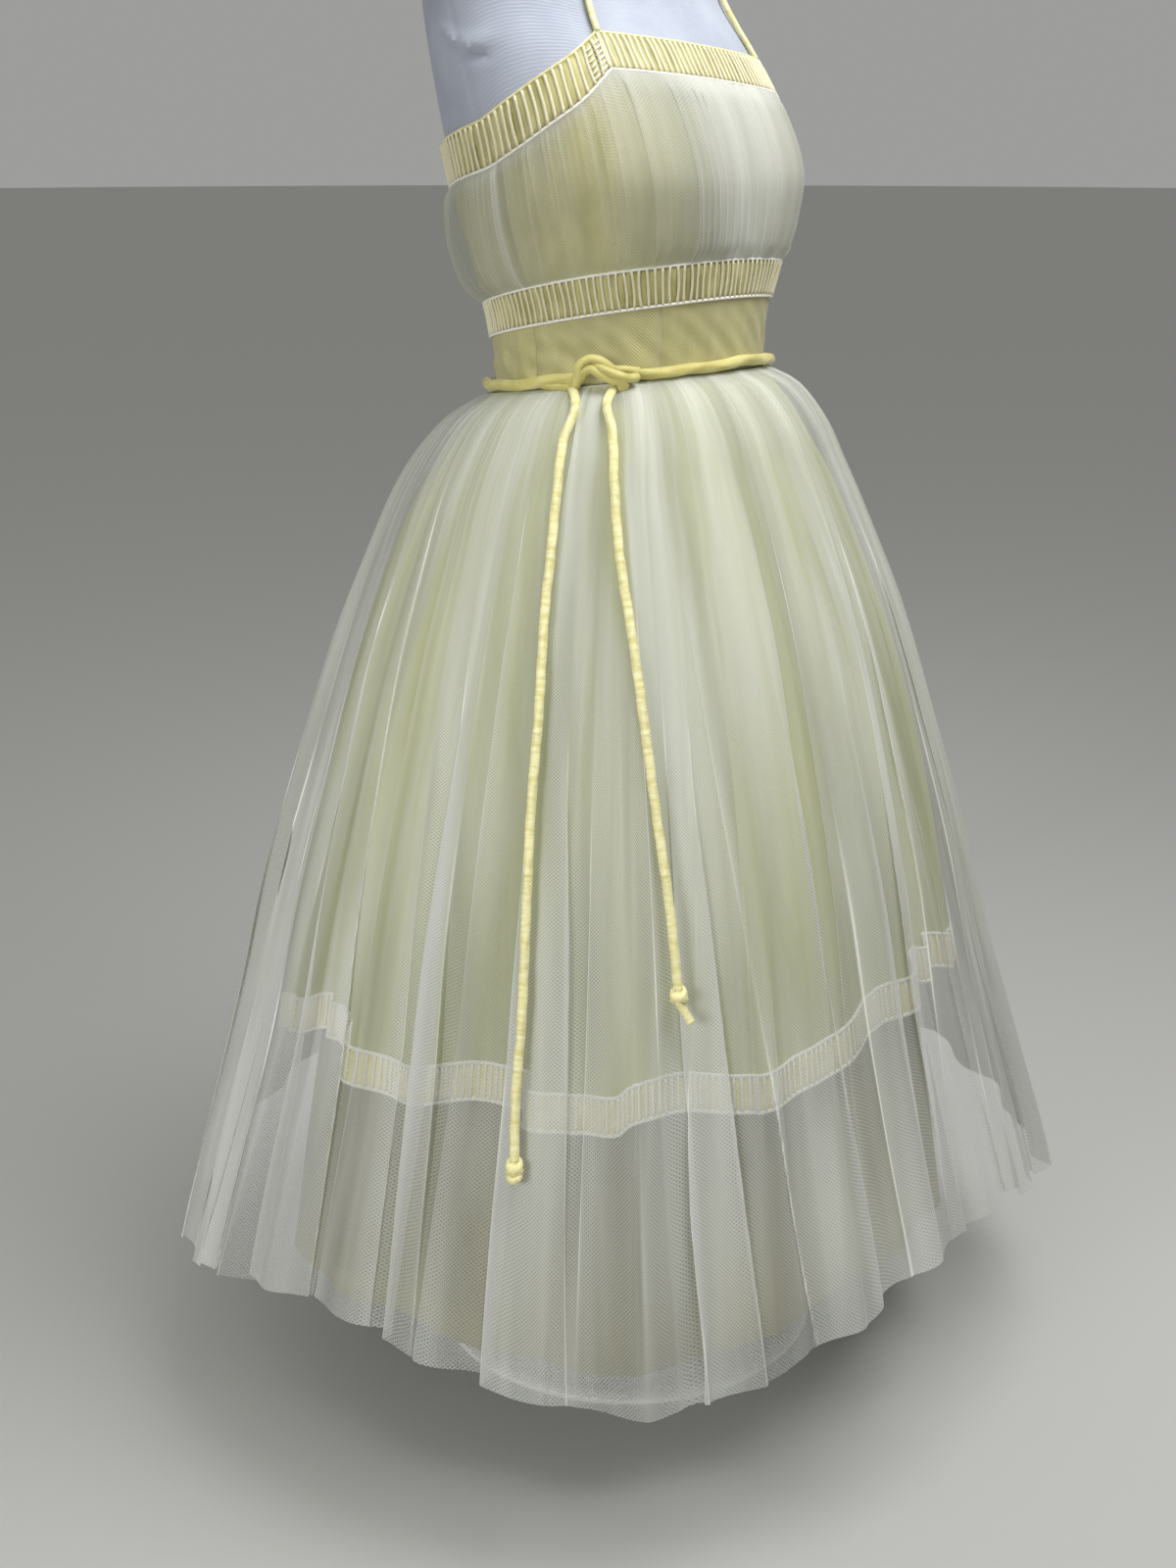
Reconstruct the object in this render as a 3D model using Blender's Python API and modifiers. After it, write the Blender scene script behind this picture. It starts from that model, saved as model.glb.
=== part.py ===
"""A tulle prom dress with its tied belt, on a limbless dress form with a pole and a round base.

Metres, +Z up. The origin is the middle of the base's underside, on the floor. The front faces -Y and the
wearer's right is -X. Angles round the body count from the front, 0, to the wearer's left, 90.
"""

import math

import bmesh
import bpy
from mathutils import Vector
from mathutils.bvhtree import BVHTree

# Heights of the waist line and of the stand
WAIST = 0.840
BASE_RADIUS = 0.170
BASE_RIM = 0.008
BASE_RISE = 0.004
COLLAR_RADIUS = 0.022
COLLAR_HEIGHT = 0.036
POLE_RADIUS = 0.0125

# Cloth, and what keeps the pieces apart
CLOTH = 0.0012
BAND_WALL = 0.0020
GAP = 0.0003
SEAM = math.radians(0.1)
MIDRIFF_OUT = 0.0028
LINING_OUT = 0.0034
NET_OUT = 0.0052
BAND_OUT = 0.0036
BAR_RISE = 0.0012

# Cords: the belt, its hanging ends and the straps
BELT_RADIUS = 0.0042
TIE_RADIUS = 0.0038
STRAP_RADIUS = 0.0026
KNOT_ANGLE = math.radians(-57.0)
KNOT_RADIUS = 0.0088

# Seams round the body, as angles
STRAP_CORNER = math.radians(37.0)
PRINCESS = math.radians(32.0)
SIDE_SEAM = math.radians(86.0)
BACK_SEAM = math.radians(180.0)

# The dress form: height over the waist, half width, half depth in front and behind, middle behind the
# axis, and how far the bust swells, as a share
FORM = (
    (-0.256, 0.136, 0.092, 0.098, 0.010, 0.00),
    (-0.250, 0.146, 0.102, 0.108, 0.010, 0.00),
    (-0.200, 0.156, 0.108, 0.116, 0.010, 0.00),
    (-0.120, 0.149, 0.103, 0.111, 0.006, 0.00),
    (-0.055, 0.133, 0.096, 0.100, 0.002, 0.00),
    (0.000, 0.1195, 0.0905, 0.0905, 0.000, 0.00),
    (0.045, 0.1220, 0.0930, 0.0930, 0.001, 0.02),
    (0.080, 0.1300, 0.0980, 0.1010, 0.004, 0.06),
    (0.115, 0.1370, 0.1030, 0.1080, 0.009, 0.11),
    (0.150, 0.1430, 0.1060, 0.1110, 0.014, 0.14),
    (0.190, 0.1465, 0.1040, 0.1110, 0.022, 0.10),
    (0.235, 0.1470, 0.0960, 0.1040, 0.036, 0.03),
    (0.271, 0.1450, 0.0860, 0.0930, 0.050, 0.00),
    (0.310, 0.1490, 0.0760, 0.0800, 0.056, 0.00),
    (0.338, 0.1500, 0.0660, 0.0680, 0.058, 0.00),
    (0.360, 0.1400, 0.0590, 0.0600, 0.057, 0.00),
    (0.380, 0.1150, 0.0550, 0.0560, 0.054, 0.00),
    (0.396, 0.0840, 0.0520, 0.0530, 0.050, 0.00),
    (0.412, 0.0620, 0.0500, 0.0500, 0.045, 0.00),
    (0.440, 0.0540, 0.0480, 0.0480, 0.040, 0.00),
    (0.476, 0.0520, 0.0470, 0.0470, 0.036, 0.00),
    (0.482, 0.0460, 0.0410, 0.0410, 0.036, 0.00),
)
BUST_ANGLE = math.radians(32.0)
BUST_SPREAD = math.radians(24.0)
# The form's waist leans as the waist line does, and less so up to this far above and below it
LEAN_REACH = 0.12

# Edges round the body: height at the middle, rise to the front, rise to the wearer's left
WAIST_LINE = (0.0, 0.0130, -0.0028)
UNDERBUST_TOP = (0.0666, 0.0228, -0.0030)
UNDERBUST_BOTTOM = (0.0412, 0.0204, -0.0022)

# The neckline: angle from the front in degrees, height of the top edge, height of the band
NECKLINE_FRONT = ((0.0, 0.2385, 0.0235), (37.0, 0.2385, 0.0245))
NECKLINE_SIDE = (
    (37.0, 0.2385, 0.0245),
    (49.0, 0.2200, 0.0290),
    (62.0, 0.2040, 0.0310),
    (75.0, 0.1890, 0.0320),
    (92.0, 0.1725, 0.0310),
    (132.0, 0.1585, 0.0300),
    (180.0, 0.1540, 0.0300),
)
RIGHT_STRAP_LIFT = 0.0125

# How far the net bodice stands off its lining: share of the way down, distance. It is fullest at the
# right of the back and flattest opposite, and these are the shares there
NET_PUFF = ((0.00, 0.0), (0.25, 0.0055), (0.50, 0.0090), (0.75, 0.0085), (0.90, 0.0055), (1.00, 0.0))
PUFF_FLAT = math.radians(38.0)
PUFF_SHARES = (0.35, 1.30)

# Skirt layers, outer surface between folds: drop below the waist line, half width, half depth, middle
# behind the axis, height of a full fold
TULLE = (
    (0.006, 0.1265, 0.0975, 0.0010, 0.0010),
    (0.020, 0.1500, 0.1230, 0.0030, 0.0030),
    (0.048, 0.1710, 0.1480, 0.0060, 0.0050),
    (0.078, 0.1870, 0.1640, 0.0085, 0.0060),
    (0.116, 0.2040, 0.1820, 0.0085, 0.0060),
    (0.194, 0.2350, 0.2140, 0.0085, 0.0070),
    (0.291, 0.2660, 0.2445, 0.0085, 0.0080),
    (0.388, 0.2940, 0.2730, 0.0085, 0.0090),
    (0.484, 0.3180, 0.2960, 0.0085, 0.0100),
    (0.581, 0.3470, 0.3230, 0.0085, 0.0110),
    (0.678, 0.3760, 0.3520, 0.0085, 0.0120),
    (0.740, 0.3920, 0.3680, 0.0085, 0.0120),
)
OVERLAYER = (
    (0.006, 0.1243, 0.0953, 0.0010, 0.0000),
    (0.020, 0.1330, 0.1055, 0.0020, 0.0020),
    (0.048, 0.1500, 0.1270, 0.0040, 0.0040),
    (0.100, 0.1800, 0.1570, 0.0050, 0.0060),
    (0.200, 0.2170, 0.1960, 0.0050, 0.0080),
    (0.300, 0.2450, 0.2250, 0.0040, 0.0100),
    (0.400, 0.2670, 0.2470, 0.0030, 0.0120),
    (0.500, 0.2840, 0.2650, 0.0030, 0.0130),
    (0.560, 0.2940, 0.2760, 0.0030, 0.0130),
)
UNDERSKIRT = (
    (0.006, 0.1223, 0.0933, 0.0010, 0.0000),
    (0.020, 0.1290, 0.1010, 0.0020, 0.0010),
    (0.048, 0.1430, 0.1190, 0.0040, 0.0020),
    (0.100, 0.1670, 0.1430, 0.0050, 0.0030),
    (0.200, 0.1990, 0.1760, 0.0050, 0.0040),
    (0.300, 0.2220, 0.2010, 0.0040, 0.0060),
    (0.450, 0.2440, 0.2250, 0.0030, 0.0080),
    (0.600, 0.2680, 0.2490, 0.0030, 0.0100),
    (0.745, 0.2900, 0.2710, 0.0030, 0.0110),
)
# How the rings of the skirt lean: drop, rise to the front and to the wearer's right per metre
LEAN = ((0.0, 0.139, 0.0227), (0.10, 0.100, 0.0210), (0.40, 0.090, 0.0170), (0.74, 0.078, 0.0120))
SKIRT_TOP = 0.0062
# These hems fall lower at the four corners of the cut than between them: middle drop, half the difference
TULLE_HEM = (0.692, 0.028)
UNDERSKIRT_HEM = (0.730, 0.012)
# The over-layer's hem is caught up unevenly round the body: angle in degrees, drop
OVERLAYER_HEM = (
    (-180, 0.510), (-160, 0.530), (-142, 0.546), (-125, 0.520), (-111, 0.500), (-102, 0.497), (-89, 0.522),
    (-78, 0.515), (-66, 0.518), (-54, 0.532), (-44, 0.526), (-26, 0.534), (-11, 0.510), (4, 0.490),
    (20, 0.498), (36, 0.514), (52, 0.530), (70, 0.518), (86, 0.502), (100, 0.500), (114, 0.520),
    (130, 0.536), (148, 0.520), (164, 0.502), (180, 0.510),
)
TRIM_HEIGHT = 0.031
TRIM_WALL = 0.0015

# Folds of half a skirt: angle of the crest from the side seam on the right in degrees, height as a share
TULLE_FOLDS = (
    (6, 0.8), (18, 1.0), (30, 0.6), (43, 1.1), (57, 0.7), (69, 1.0), (81, 0.8),
    (94, 1.0), (108, 0.7), (120, 1.1), (134, 0.8), (147, 1.0), (160, 0.6), (173, 0.9),
)
OVERLAYER_FOLDS = (
    (8, 1.0), (26, 0.7), (42, 1.1), (60, 0.6), (76, 1.0), (94, 0.8),
    (110, 1.1), (126, 0.6), (144, 0.9), (158, 1.0), (172, 0.7),
)
UNDERSKIRT_FOLDS = ((13, 0.8), (40, 1.1), (66, 0.7), (92, 1.0), (118, 0.8), (144, 1.1), (168, 0.7))
# Gathers of the net over half the body, in the same way
NET_FOLDS = (
    (6, 0.9), (19, 0.6), (31, 1.0), (44, 0.7), (58, 1.1), (70, 0.6), (83, 1.0),
    (96, 0.8), (109, 1.0), (121, 0.6), (135, 1.1), (148, 0.7), (160, 0.9), (173, 0.6),
)
NET_FOLD_HEIGHT = 0.0026

# Rows of points down a piece, as shares of its height
FORM_ROWS = (
    -0.256, -0.250, -0.200, -0.120, -0.070, -0.040, -0.018, 0.000, 0.020, 0.045, 0.080, 0.115, 0.150,
    0.170, 0.190, 0.212, 0.235, 0.271, 0.310, 0.338, 0.360, 0.380, 0.396, 0.412, 0.440, 0.476, 0.482,
)
TULLE_ROWS = (0.0, 0.02, 0.055, 0.11, 0.22, 0.42, 0.70, 1.0)
OVERLAYER_ROWS = (0.0, 0.03, 0.12, 0.45, 1.0)
UNDERSKIRT_ROWS = (0.0, 0.04, 0.16, 0.50, 1.0)
NET_ROWS = (0.0, 0.30, 0.60, 0.85, 1.0)
LINING_ROWS = (0.0, 0.25, 0.50, 0.75, 1.0)
MIDRIFF_ROWS = (0.0, 0.5, 1.0)

# The hanging ends of the belt lie down the skirt: angle in degrees, drop below the waist line
LONG_END = (
    (-62.0, 0.020), (-63.5, 0.040), (-63.0, 0.070), (-63.0, 0.110), (-63.3, 0.160), (-63.0, 0.220),
    (-63.2, 0.290), (-63.0, 0.360), (-62.8, 0.430), (-63.0, 0.490), (-62.6, 0.534),
)
SHORT_END = (
    (-52.5, 0.020), (-50.8, 0.040), (-49.8, 0.075), (-49.0, 0.120), (-47.0, 0.178), (-45.3, 0.240),
    (-43.8, 0.305), (-42.6, 0.360), (-41.8, 0.414),
)
END_KNOT_RADIUS = 0.0075
# Height of the folds under the hanging ends, as a share
UNDER_ENDS = 0.9

# The straps: share of the way from the neckline over the shoulder to the back, distance from the middle
STRAP_ROUTE = ((0.0, 0.0890), (0.2, 0.0740), (0.45, 0.0640), (0.60, 0.0600), (0.80, 0.0520), (1.0, 0.0440))
STRAP_BACK = math.radians(162.0)
STRAP_POINTS = 40
# Clear of the band's top edge, and clear of the form
STRAP_END_GAP = 0.0030
STRAP_CLEAR = 0.0014
# The middle of the turn over the shoulder: distance behind the axis, height over the waist
STRAP_TURN = (0.055, 0.250)


def row_at(table, key):
    """The other columns of a table at a key between its rows, on a smooth curve through the rows."""
    keys = [row[0] for row in table]
    key = min(max(key, keys[0]), keys[-1])
    low = max(i for i in range(len(keys) - 1) if keys[i] <= key)
    span = keys[low + 1] - keys[low]
    share = (key - keys[low]) / span

    def slope(i, column):
        before, after = max(i - 1, 0), min(i + 1, len(keys) - 1)
        return (table[after][column] - table[before][column]) / (keys[after] - keys[before])

    square, cube = share**2, share**3
    return [
        table[low][c] * (2 * cube - 3 * square + 1)
        + slope(low, c) * span * (cube - 2 * square + share)
        + table[low + 1][c] * (3 * square - 2 * cube)
        + slope(low + 1, c) * span * (cube - square)
        for c in range(1, len(table[0]))
    ]


def turned(angle):
    """The angle brought to between -180 and 180 degrees, in radians."""
    return (angle + math.pi) % (2 * math.pi) - math.pi


def edge_height(edge, angle):
    """The height over the waist of a band's edge."""
    middle, to_front, to_left = edge
    return middle + to_front * math.cos(angle) + to_left * math.sin(angle)


def form_point(angle, height, out=0.0):
    """A point on the dress form at a height over the waist, or that far out from it."""
    lean = edge_height(WAIST_LINE, angle) * max(0.0, 1.0 - abs(height) / LEAN_REACH)
    half_width, front, back, middle, bust = row_at(FORM, height - lean)
    across, ahead = math.sin(angle), math.cos(angle)
    depth = front if ahead > 0 else back
    swell = 1.0 + bust * sum(
        math.exp(-(((turned(angle) - side * BUST_ANGLE) / BUST_SPREAD) ** 2)) for side in (-1, 1)
    )
    away = Vector((across / half_width, -ahead / depth, 0.0)).normalized()
    point = Vector((half_width * across * swell, middle - depth * ahead * swell, WAIST + height))
    return point + away * out


def neckline(angle):
    """The heights over the waist of the top band's two edges, at the top and at the bottom."""
    from_front = abs(math.degrees(turned(angle)))
    table = NECKLINE_FRONT if abs(turned(angle)) <= STRAP_CORNER else NECKLINE_SIDE
    top, band = row_at(table, from_front)
    top -= RIGHT_STRAP_LIFT * math.sin(angle)
    return top, top - band


def skirt_lean(drop):
    """How steeply a ring of the skirt rises to the front and to the wearer's right."""
    return row_at(LEAN, drop)


def fold_turns(folds):
    """The crests and valleys all round, as (angle, height) in radians, from a table for half a skirt."""
    turns = []
    for start in (-90.0, 90.0):
        crests = folds if start < 0 else [(180 - angle, height) for angle, height in reversed(folds)]
        turns.append((start, 0.0))
        for i, (angle, height) in enumerate(crests):
            turns.append((start + angle, height))
            if i + 1 < len(crests):
                turns.append((start + (angle + crests[i + 1][0]) / 2, 0.0))
    turns.append((270.0, 0.0))
    return [(math.radians(angle), height) for angle, height in turns]


def fold_height(turns, angle):
    """The height of the folds at an angle, as a share: a smooth wave through the crests and valleys."""
    angle = (angle + math.pi / 2) % (2 * math.pi) - math.pi / 2
    for (low, low_height), (high, high_height) in zip(turns, turns[1:]):
        if low <= angle <= high:
            share = 0.5 - 0.5 * math.cos(math.pi * (angle - low) / (high - low))
            return low_height + (high_height - low_height) * share
    return 0.0


def fold_angles(turns, start, end):
    """Columns for folded cloth from start to end: each crest and valley and the points midway."""
    inside = [angle for angle, _ in turns if start < angle < end]
    marks = [start, *inside, end]
    angles = [start]
    for low, high in zip(marks, marks[1:]):
        if high - low > math.radians(3.0):
            angles.append((low + high) / 2)
        angles.append(high)
    return angles


def spread(start, end, count):
    """Evenly spaced angles from start to end, with count steps."""
    return [start + (end - start) * i / count for i in range(count + 1)]


def hem_drop(hem, angle):
    """The drop of a hem at an angle: from its table, or lowest at the four corners of the cut."""
    if len(hem) > 2:
        return row_at(hem, math.degrees(turned(angle)))[0]
    middle, half = hem
    return middle - half * math.cos(4 * angle)


def skirt_point(layer, turns, angle, drop, out=0.0):
    """A point on the outer surface of a skirt layer, or that far out from it."""
    half_width, depth, middle, fold = row_at(layer, drop)
    across, ahead = math.sin(angle), math.cos(angle)
    away = fold * fold_height(turns, angle) + out
    x = (half_width + away) * across
    y = middle - (depth + away) * ahead
    to_front, to_right = skirt_lean(drop)
    return Vector((x, y, WAIST - drop - to_front * y - to_right * x))


def material(name, colour, roughness, metallic=0.0):
    """A plain finish with a colour given as sRGB hex."""
    made = bpy.data.materials.new(name)
    made.use_nodes = True
    shader = made.node_tree.nodes["Principled BSDF"]
    levels = [int(colour[i:i + 2], 16) / 255 for i in (0, 2, 4)]
    linear = [v / 12.92 if v <= 0.04045 else ((v + 0.055) / 1.055) ** 2.4 for v in levels]
    shader.inputs["Base Color"].default_value = (*linear, 1.0)
    shader.inputs["Roughness"].default_value = roughness
    shader.inputs["Metallic"].default_value = metallic
    return made


def add_object(name, data, finish, collection):
    """A named object in the collection, with its finish."""
    made = bpy.data.objects.new(name, data)
    data.materials.append(finish)
    collection.objects.link(made)
    return made


def add_mesh(name, bm, finish, collection):
    """The bmesh as a smooth-shaded object."""
    mesh = bpy.data.meshes.new(name)
    bm.to_mesh(mesh)
    bm.free()
    mesh.shade_smooth()
    mesh.set_sharp_from_angle(angle=math.radians(40))
    return add_object(name, mesh, finish, collection)


def cloth(name, angles, rows, place, finish, collection, wall=CLOTH):
    """A cloth panel: a grid put in place by place(angle, share of the way down), with its wall inwards."""
    bm = bmesh.new()
    across, down = len(angles) - 1, len(rows) - 1
    bmesh.ops.create_grid(bm, x_segments=across, y_segments=down, size=0.5)
    for vertex in bm.verts:
        column = round((vertex.co.x + 0.5) * across)
        row = round((0.5 - vertex.co.y) * down)
        vertex.co = place(angles[column], rows[row])
    panel = add_mesh(name, bm, finish, collection)
    thickness = panel.modifiers.new("wall", "SOLIDIFY")
    thickness.thickness = wall
    thickness.offset = -1.0
    return panel


def ribbed_band(name, start, end, bars, edges, finish, collection):
    """A band on the form between two edges, with bars raised in its outer points over a plain inside."""
    bm = bmesh.new()
    columns = []
    for i, angle in enumerate(spread(start, end, 2 * bars)):
        top, bottom = edges(angle)
        rise = BAR_RISE * (i % 2)
        columns.append([
            bm.verts.new(form_point(angle, top, BAND_OUT + rise)),
            bm.verts.new(form_point(angle, bottom, BAND_OUT + rise)),
            bm.verts.new(form_point(angle, bottom, BAND_OUT - BAND_WALL)),
            bm.verts.new(form_point(angle, top, BAND_OUT - BAND_WALL)),
        ])
    for left, right in zip(columns, columns[1:]):
        for side in range(4):
            after = (side + 1) % 4
            bm.faces.new((left[side], left[after], right[after], right[side]))
    bm.faces.new(columns[0][::-1])
    bm.faces.new(columns[-1])
    return add_mesh(name, bm, finish, collection)


def smooth_route(points, count):
    """Count points evenly spaced in number along a smooth curve through the route's points."""
    table = [(i, *point) for i, point in enumerate(points)]
    return [Vector(row_at(table, (len(points) - 1) * i / (count - 1))) for i in range(count)]


def cord(name, points, radius, finish, collection, sides=2):
    """A round cord along the points, with filled ends."""
    curve = bpy.data.curves.new(name, "CURVE")
    curve.dimensions = "3D"
    curve.bevel_depth = radius
    curve.bevel_resolution = sides
    curve.use_fill_caps = True
    spline = curve.splines.new("POLY")
    spline.points.add(len(points) - 1)
    for target, point in zip(spline.points, points):
        target.co = (*point, 1.0)
    return add_object(name, curve, finish, collection)


def stand(finish, collection):
    """The round base with its collar, turned from a profile, and the pole on it."""
    profile = [
        (0.0, COLLAR_HEIGHT), (COLLAR_RADIUS - 0.003, COLLAR_HEIGHT), (COLLAR_RADIUS, COLLAR_HEIGHT - 0.003),
        (COLLAR_RADIUS, BASE_RIM + BASE_RISE + 0.006), (COLLAR_RADIUS + 0.006, BASE_RIM + BASE_RISE),
        (BASE_RADIUS - 0.012, BASE_RIM), (BASE_RADIUS - 0.002, BASE_RIM - 0.002),
        (BASE_RADIUS, BASE_RIM - 0.005), (BASE_RADIUS - 0.001, 0.0), (0.0, 0.0),
    ]
    bm = bmesh.new()
    corners = [bm.verts.new((x, 0.0, z)) for x, z in profile]
    for low, high in zip(corners, corners[1:]):
        bm.edges.new((low, high))
    bmesh.ops.spin(
        bm, geom=bm.verts[:] + bm.edges[:], cent=(0, 0, 0), axis=(0, 0, 1), dvec=(0, 0, 0),
        angle=2 * math.pi, steps=32, use_merge=True,
    )
    bmesh.ops.remove_doubles(bm, verts=bm.verts, dist=1e-5)
    bmesh.ops.recalc_face_normals(bm, faces=bm.faces)
    add_mesh("stand_base", bm, finish, collection)

    low, high = COLLAR_HEIGHT + GAP, WAIST + FORM[0][0] - GAP
    bm = bmesh.new()
    bmesh.ops.create_cone(
        bm, cap_ends=True, segments=20, radius1=POLE_RADIUS, radius2=POLE_RADIUS, depth=high - low
    )
    bmesh.ops.translate(bm, verts=bm.verts, vec=(0, 0, (low + high) / 2))
    add_mesh("stand_pole", bm, finish, collection)


def form_torso(finish, collection, columns=32):
    """The dress form: one smooth body lofted through its sections, closed at the neck and below."""
    bm = bmesh.new()
    rings = []
    for height in FORM_ROWS:
        rings.append([bm.verts.new(form_point(a, height)) for a in spread(0.0, 2 * math.pi, columns)[:-1]])
    for lower, upper in zip(rings, rings[1:]):
        for i in range(columns):
            after = (i + 1) % columns
            bm.faces.new((lower[i], lower[after], upper[after], upper[i]))
    bm.faces.new(rings[0][::-1])
    bm.faces.new(rings[-1])
    return add_mesh("form_torso", bm, finish, collection)


def bodice(lining_finish, net_finish, collection):
    """The satin lining and the gathered net over it, from the top band down to the under-bust band."""
    turns = fold_turns(NET_FOLDS)

    def between(angle, share):
        top, bottom = neckline(angle)[1] - 3 * GAP, edge_height(UNDERBUST_TOP, angle) + GAP
        return top + (bottom - top) * share

    def lining_place(angle, share):
        return form_point(angle, between(angle, share), LINING_OUT)

    def net_place(angle, share):
        flat, full = PUFF_SHARES
        fullness = (flat + full) / 2 - (full - flat) / 2 * math.cos(angle - PUFF_FLAT)
        puff = row_at(NET_PUFF, share)[0] * fullness
        gather = NET_FOLD_HEIGHT * fold_height(turns, angle) * min(1.0, 4.0 * share * (1.0 - share) + 0.15)
        return form_point(angle, between(angle, share), NET_OUT + puff + gather)

    pieces = (
        ("front", -SIDE_SEAM, SIDE_SEAM, 22),
        ("back_left", SIDE_SEAM, BACK_SEAM, 11),
        ("back_right", BACK_SEAM, 2 * math.pi - SIDE_SEAM, 11),
    )
    for name, start, end, count in pieces:
        start, end = start + SEAM, end - SEAM
        cloth("lining_" + name, spread(start, end, count), LINING_ROWS, lining_place, lining_finish, collection)
        columns = fold_angles(turns, start, end)
        cloth("net_" + name, columns, NET_ROWS, net_place, net_finish, collection)


def bands(finish, collection):
    """The barred top band in three pieces and the barred under-bust band in two."""
    corner, back = STRAP_CORNER, BACK_SEAM

    def underbust(angle):
        return edge_height(UNDERBUST_TOP, angle), edge_height(UNDERBUST_BOTTOM, angle)

    ribbed_band("top_band_front", -corner + SEAM, corner - SEAM, 14, neckline, finish, collection)
    ribbed_band("top_band_left", corner + SEAM, back - SEAM, 15, neckline, finish, collection)
    ribbed_band("top_band_right", -back + SEAM, -corner - SEAM, 15, neckline, finish, collection)
    ribbed_band("underbust_band_front", -SIDE_SEAM + SEAM, SIDE_SEAM - SEAM, 26, underbust, finish, collection)
    ribbed_band(
        "underbust_band_back", SIDE_SEAM + SEAM, 2 * math.pi - SIDE_SEAM - SEAM, 26, underbust, finish, collection
    )


def midriff(finish, collection):
    """The fitted panels between the under-bust band and the waist line."""
    def place(angle, share):
        top = edge_height(UNDERBUST_BOTTOM, angle) - GAP
        bottom = edge_height(WAIST_LINE, angle) - SKIRT_TOP + 2 * GAP
        return form_point(angle, top + (bottom - top) * share, MIDRIFF_OUT)

    pieces = (
        ("midriff_front", -PRINCESS, PRINCESS, 9),
        ("midriff_side_left", PRINCESS, SIDE_SEAM, 8),
        ("midriff_side_right", -SIDE_SEAM, -PRINCESS, 8),
        ("midriff_back_left", SIDE_SEAM, BACK_SEAM, 12),
        ("midriff_back_right", BACK_SEAM, 2 * math.pi - SIDE_SEAM, 12),
    )
    for name, start, end, count in pieces:
        cloth(name, spread(start + SEAM, end - SEAM, count), MIDRIFF_ROWS, place, finish, collection)


def skirt_layer(name, layer, folds, hem, rows, finish, collection):
    """One layer of the skirt in two halves, front and back, that meet at the side seams."""
    turns = fold_turns(folds)

    def place(angle, share):
        return skirt_point(layer, turns, angle, SKIRT_TOP + (hem_drop(hem, angle) - SKIRT_TOP) * share)

    side = math.pi / 2
    for half, start in (("front", -side), ("back", side)):
        columns = fold_angles(turns, start + SEAM, start + math.pi - SEAM)
        cloth(f"{name}_{half}", columns, rows, place, finish, collection)


def skirt_trim(finish, collection):
    """The barred trim on the over-layer's hem, made from that layer's own points moved out."""
    turns = fold_turns(OVERLAYER_FOLDS)

    def place(angle, share):
        drop = hem_drop(OVERLAYER_HEM, angle) - TRIM_HEIGHT * (1.0 - share)
        return skirt_point(OVERLAYER, turns, angle, drop, 2 * GAP + TRIM_WALL)

    side = math.pi / 2
    for half, start in (("front", -side), ("back", side)):
        columns = fold_angles(turns, start + SEAM, start + math.pi - SEAM)
        cloth(f"skirt_trim_{half}", columns, (0.0, 1.0), place, finish, collection, TRIM_WALL)


def belt_point(angle, out):
    """A point at the waist line, that far out from the dress form."""
    return form_point(angle, edge_height(WAIST_LINE, angle), out)


def joined_tube(points, radius, finish, target):
    """A tube joined to the target mesh by a Boolean; the tube's own object stays among the cutters."""
    tube = cord("tube", points, radius, finish, bpy.data.collections["cutters"])
    evaluated = tube.evaluated_get(bpy.context.evaluated_depsgraph_get())
    mesh = bpy.data.meshes.new_from_object(evaluated)
    bpy.data.objects.remove(tube)
    bm = bmesh.new()
    bm.from_mesh(mesh)
    bmesh.ops.remove_doubles(bm, verts=bm.verts, dist=1e-5)
    bm.to_mesh(mesh)
    bm.free()
    joined = bpy.data.objects.new("tube", mesh)
    bpy.data.collections["cutters"].objects.link(joined)
    joined.hide_render = True
    joined.display_type = "WIRE"
    union = target.modifiers.new("join", "BOOLEAN")
    union.operation = "UNION"
    union.object = joined


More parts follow.
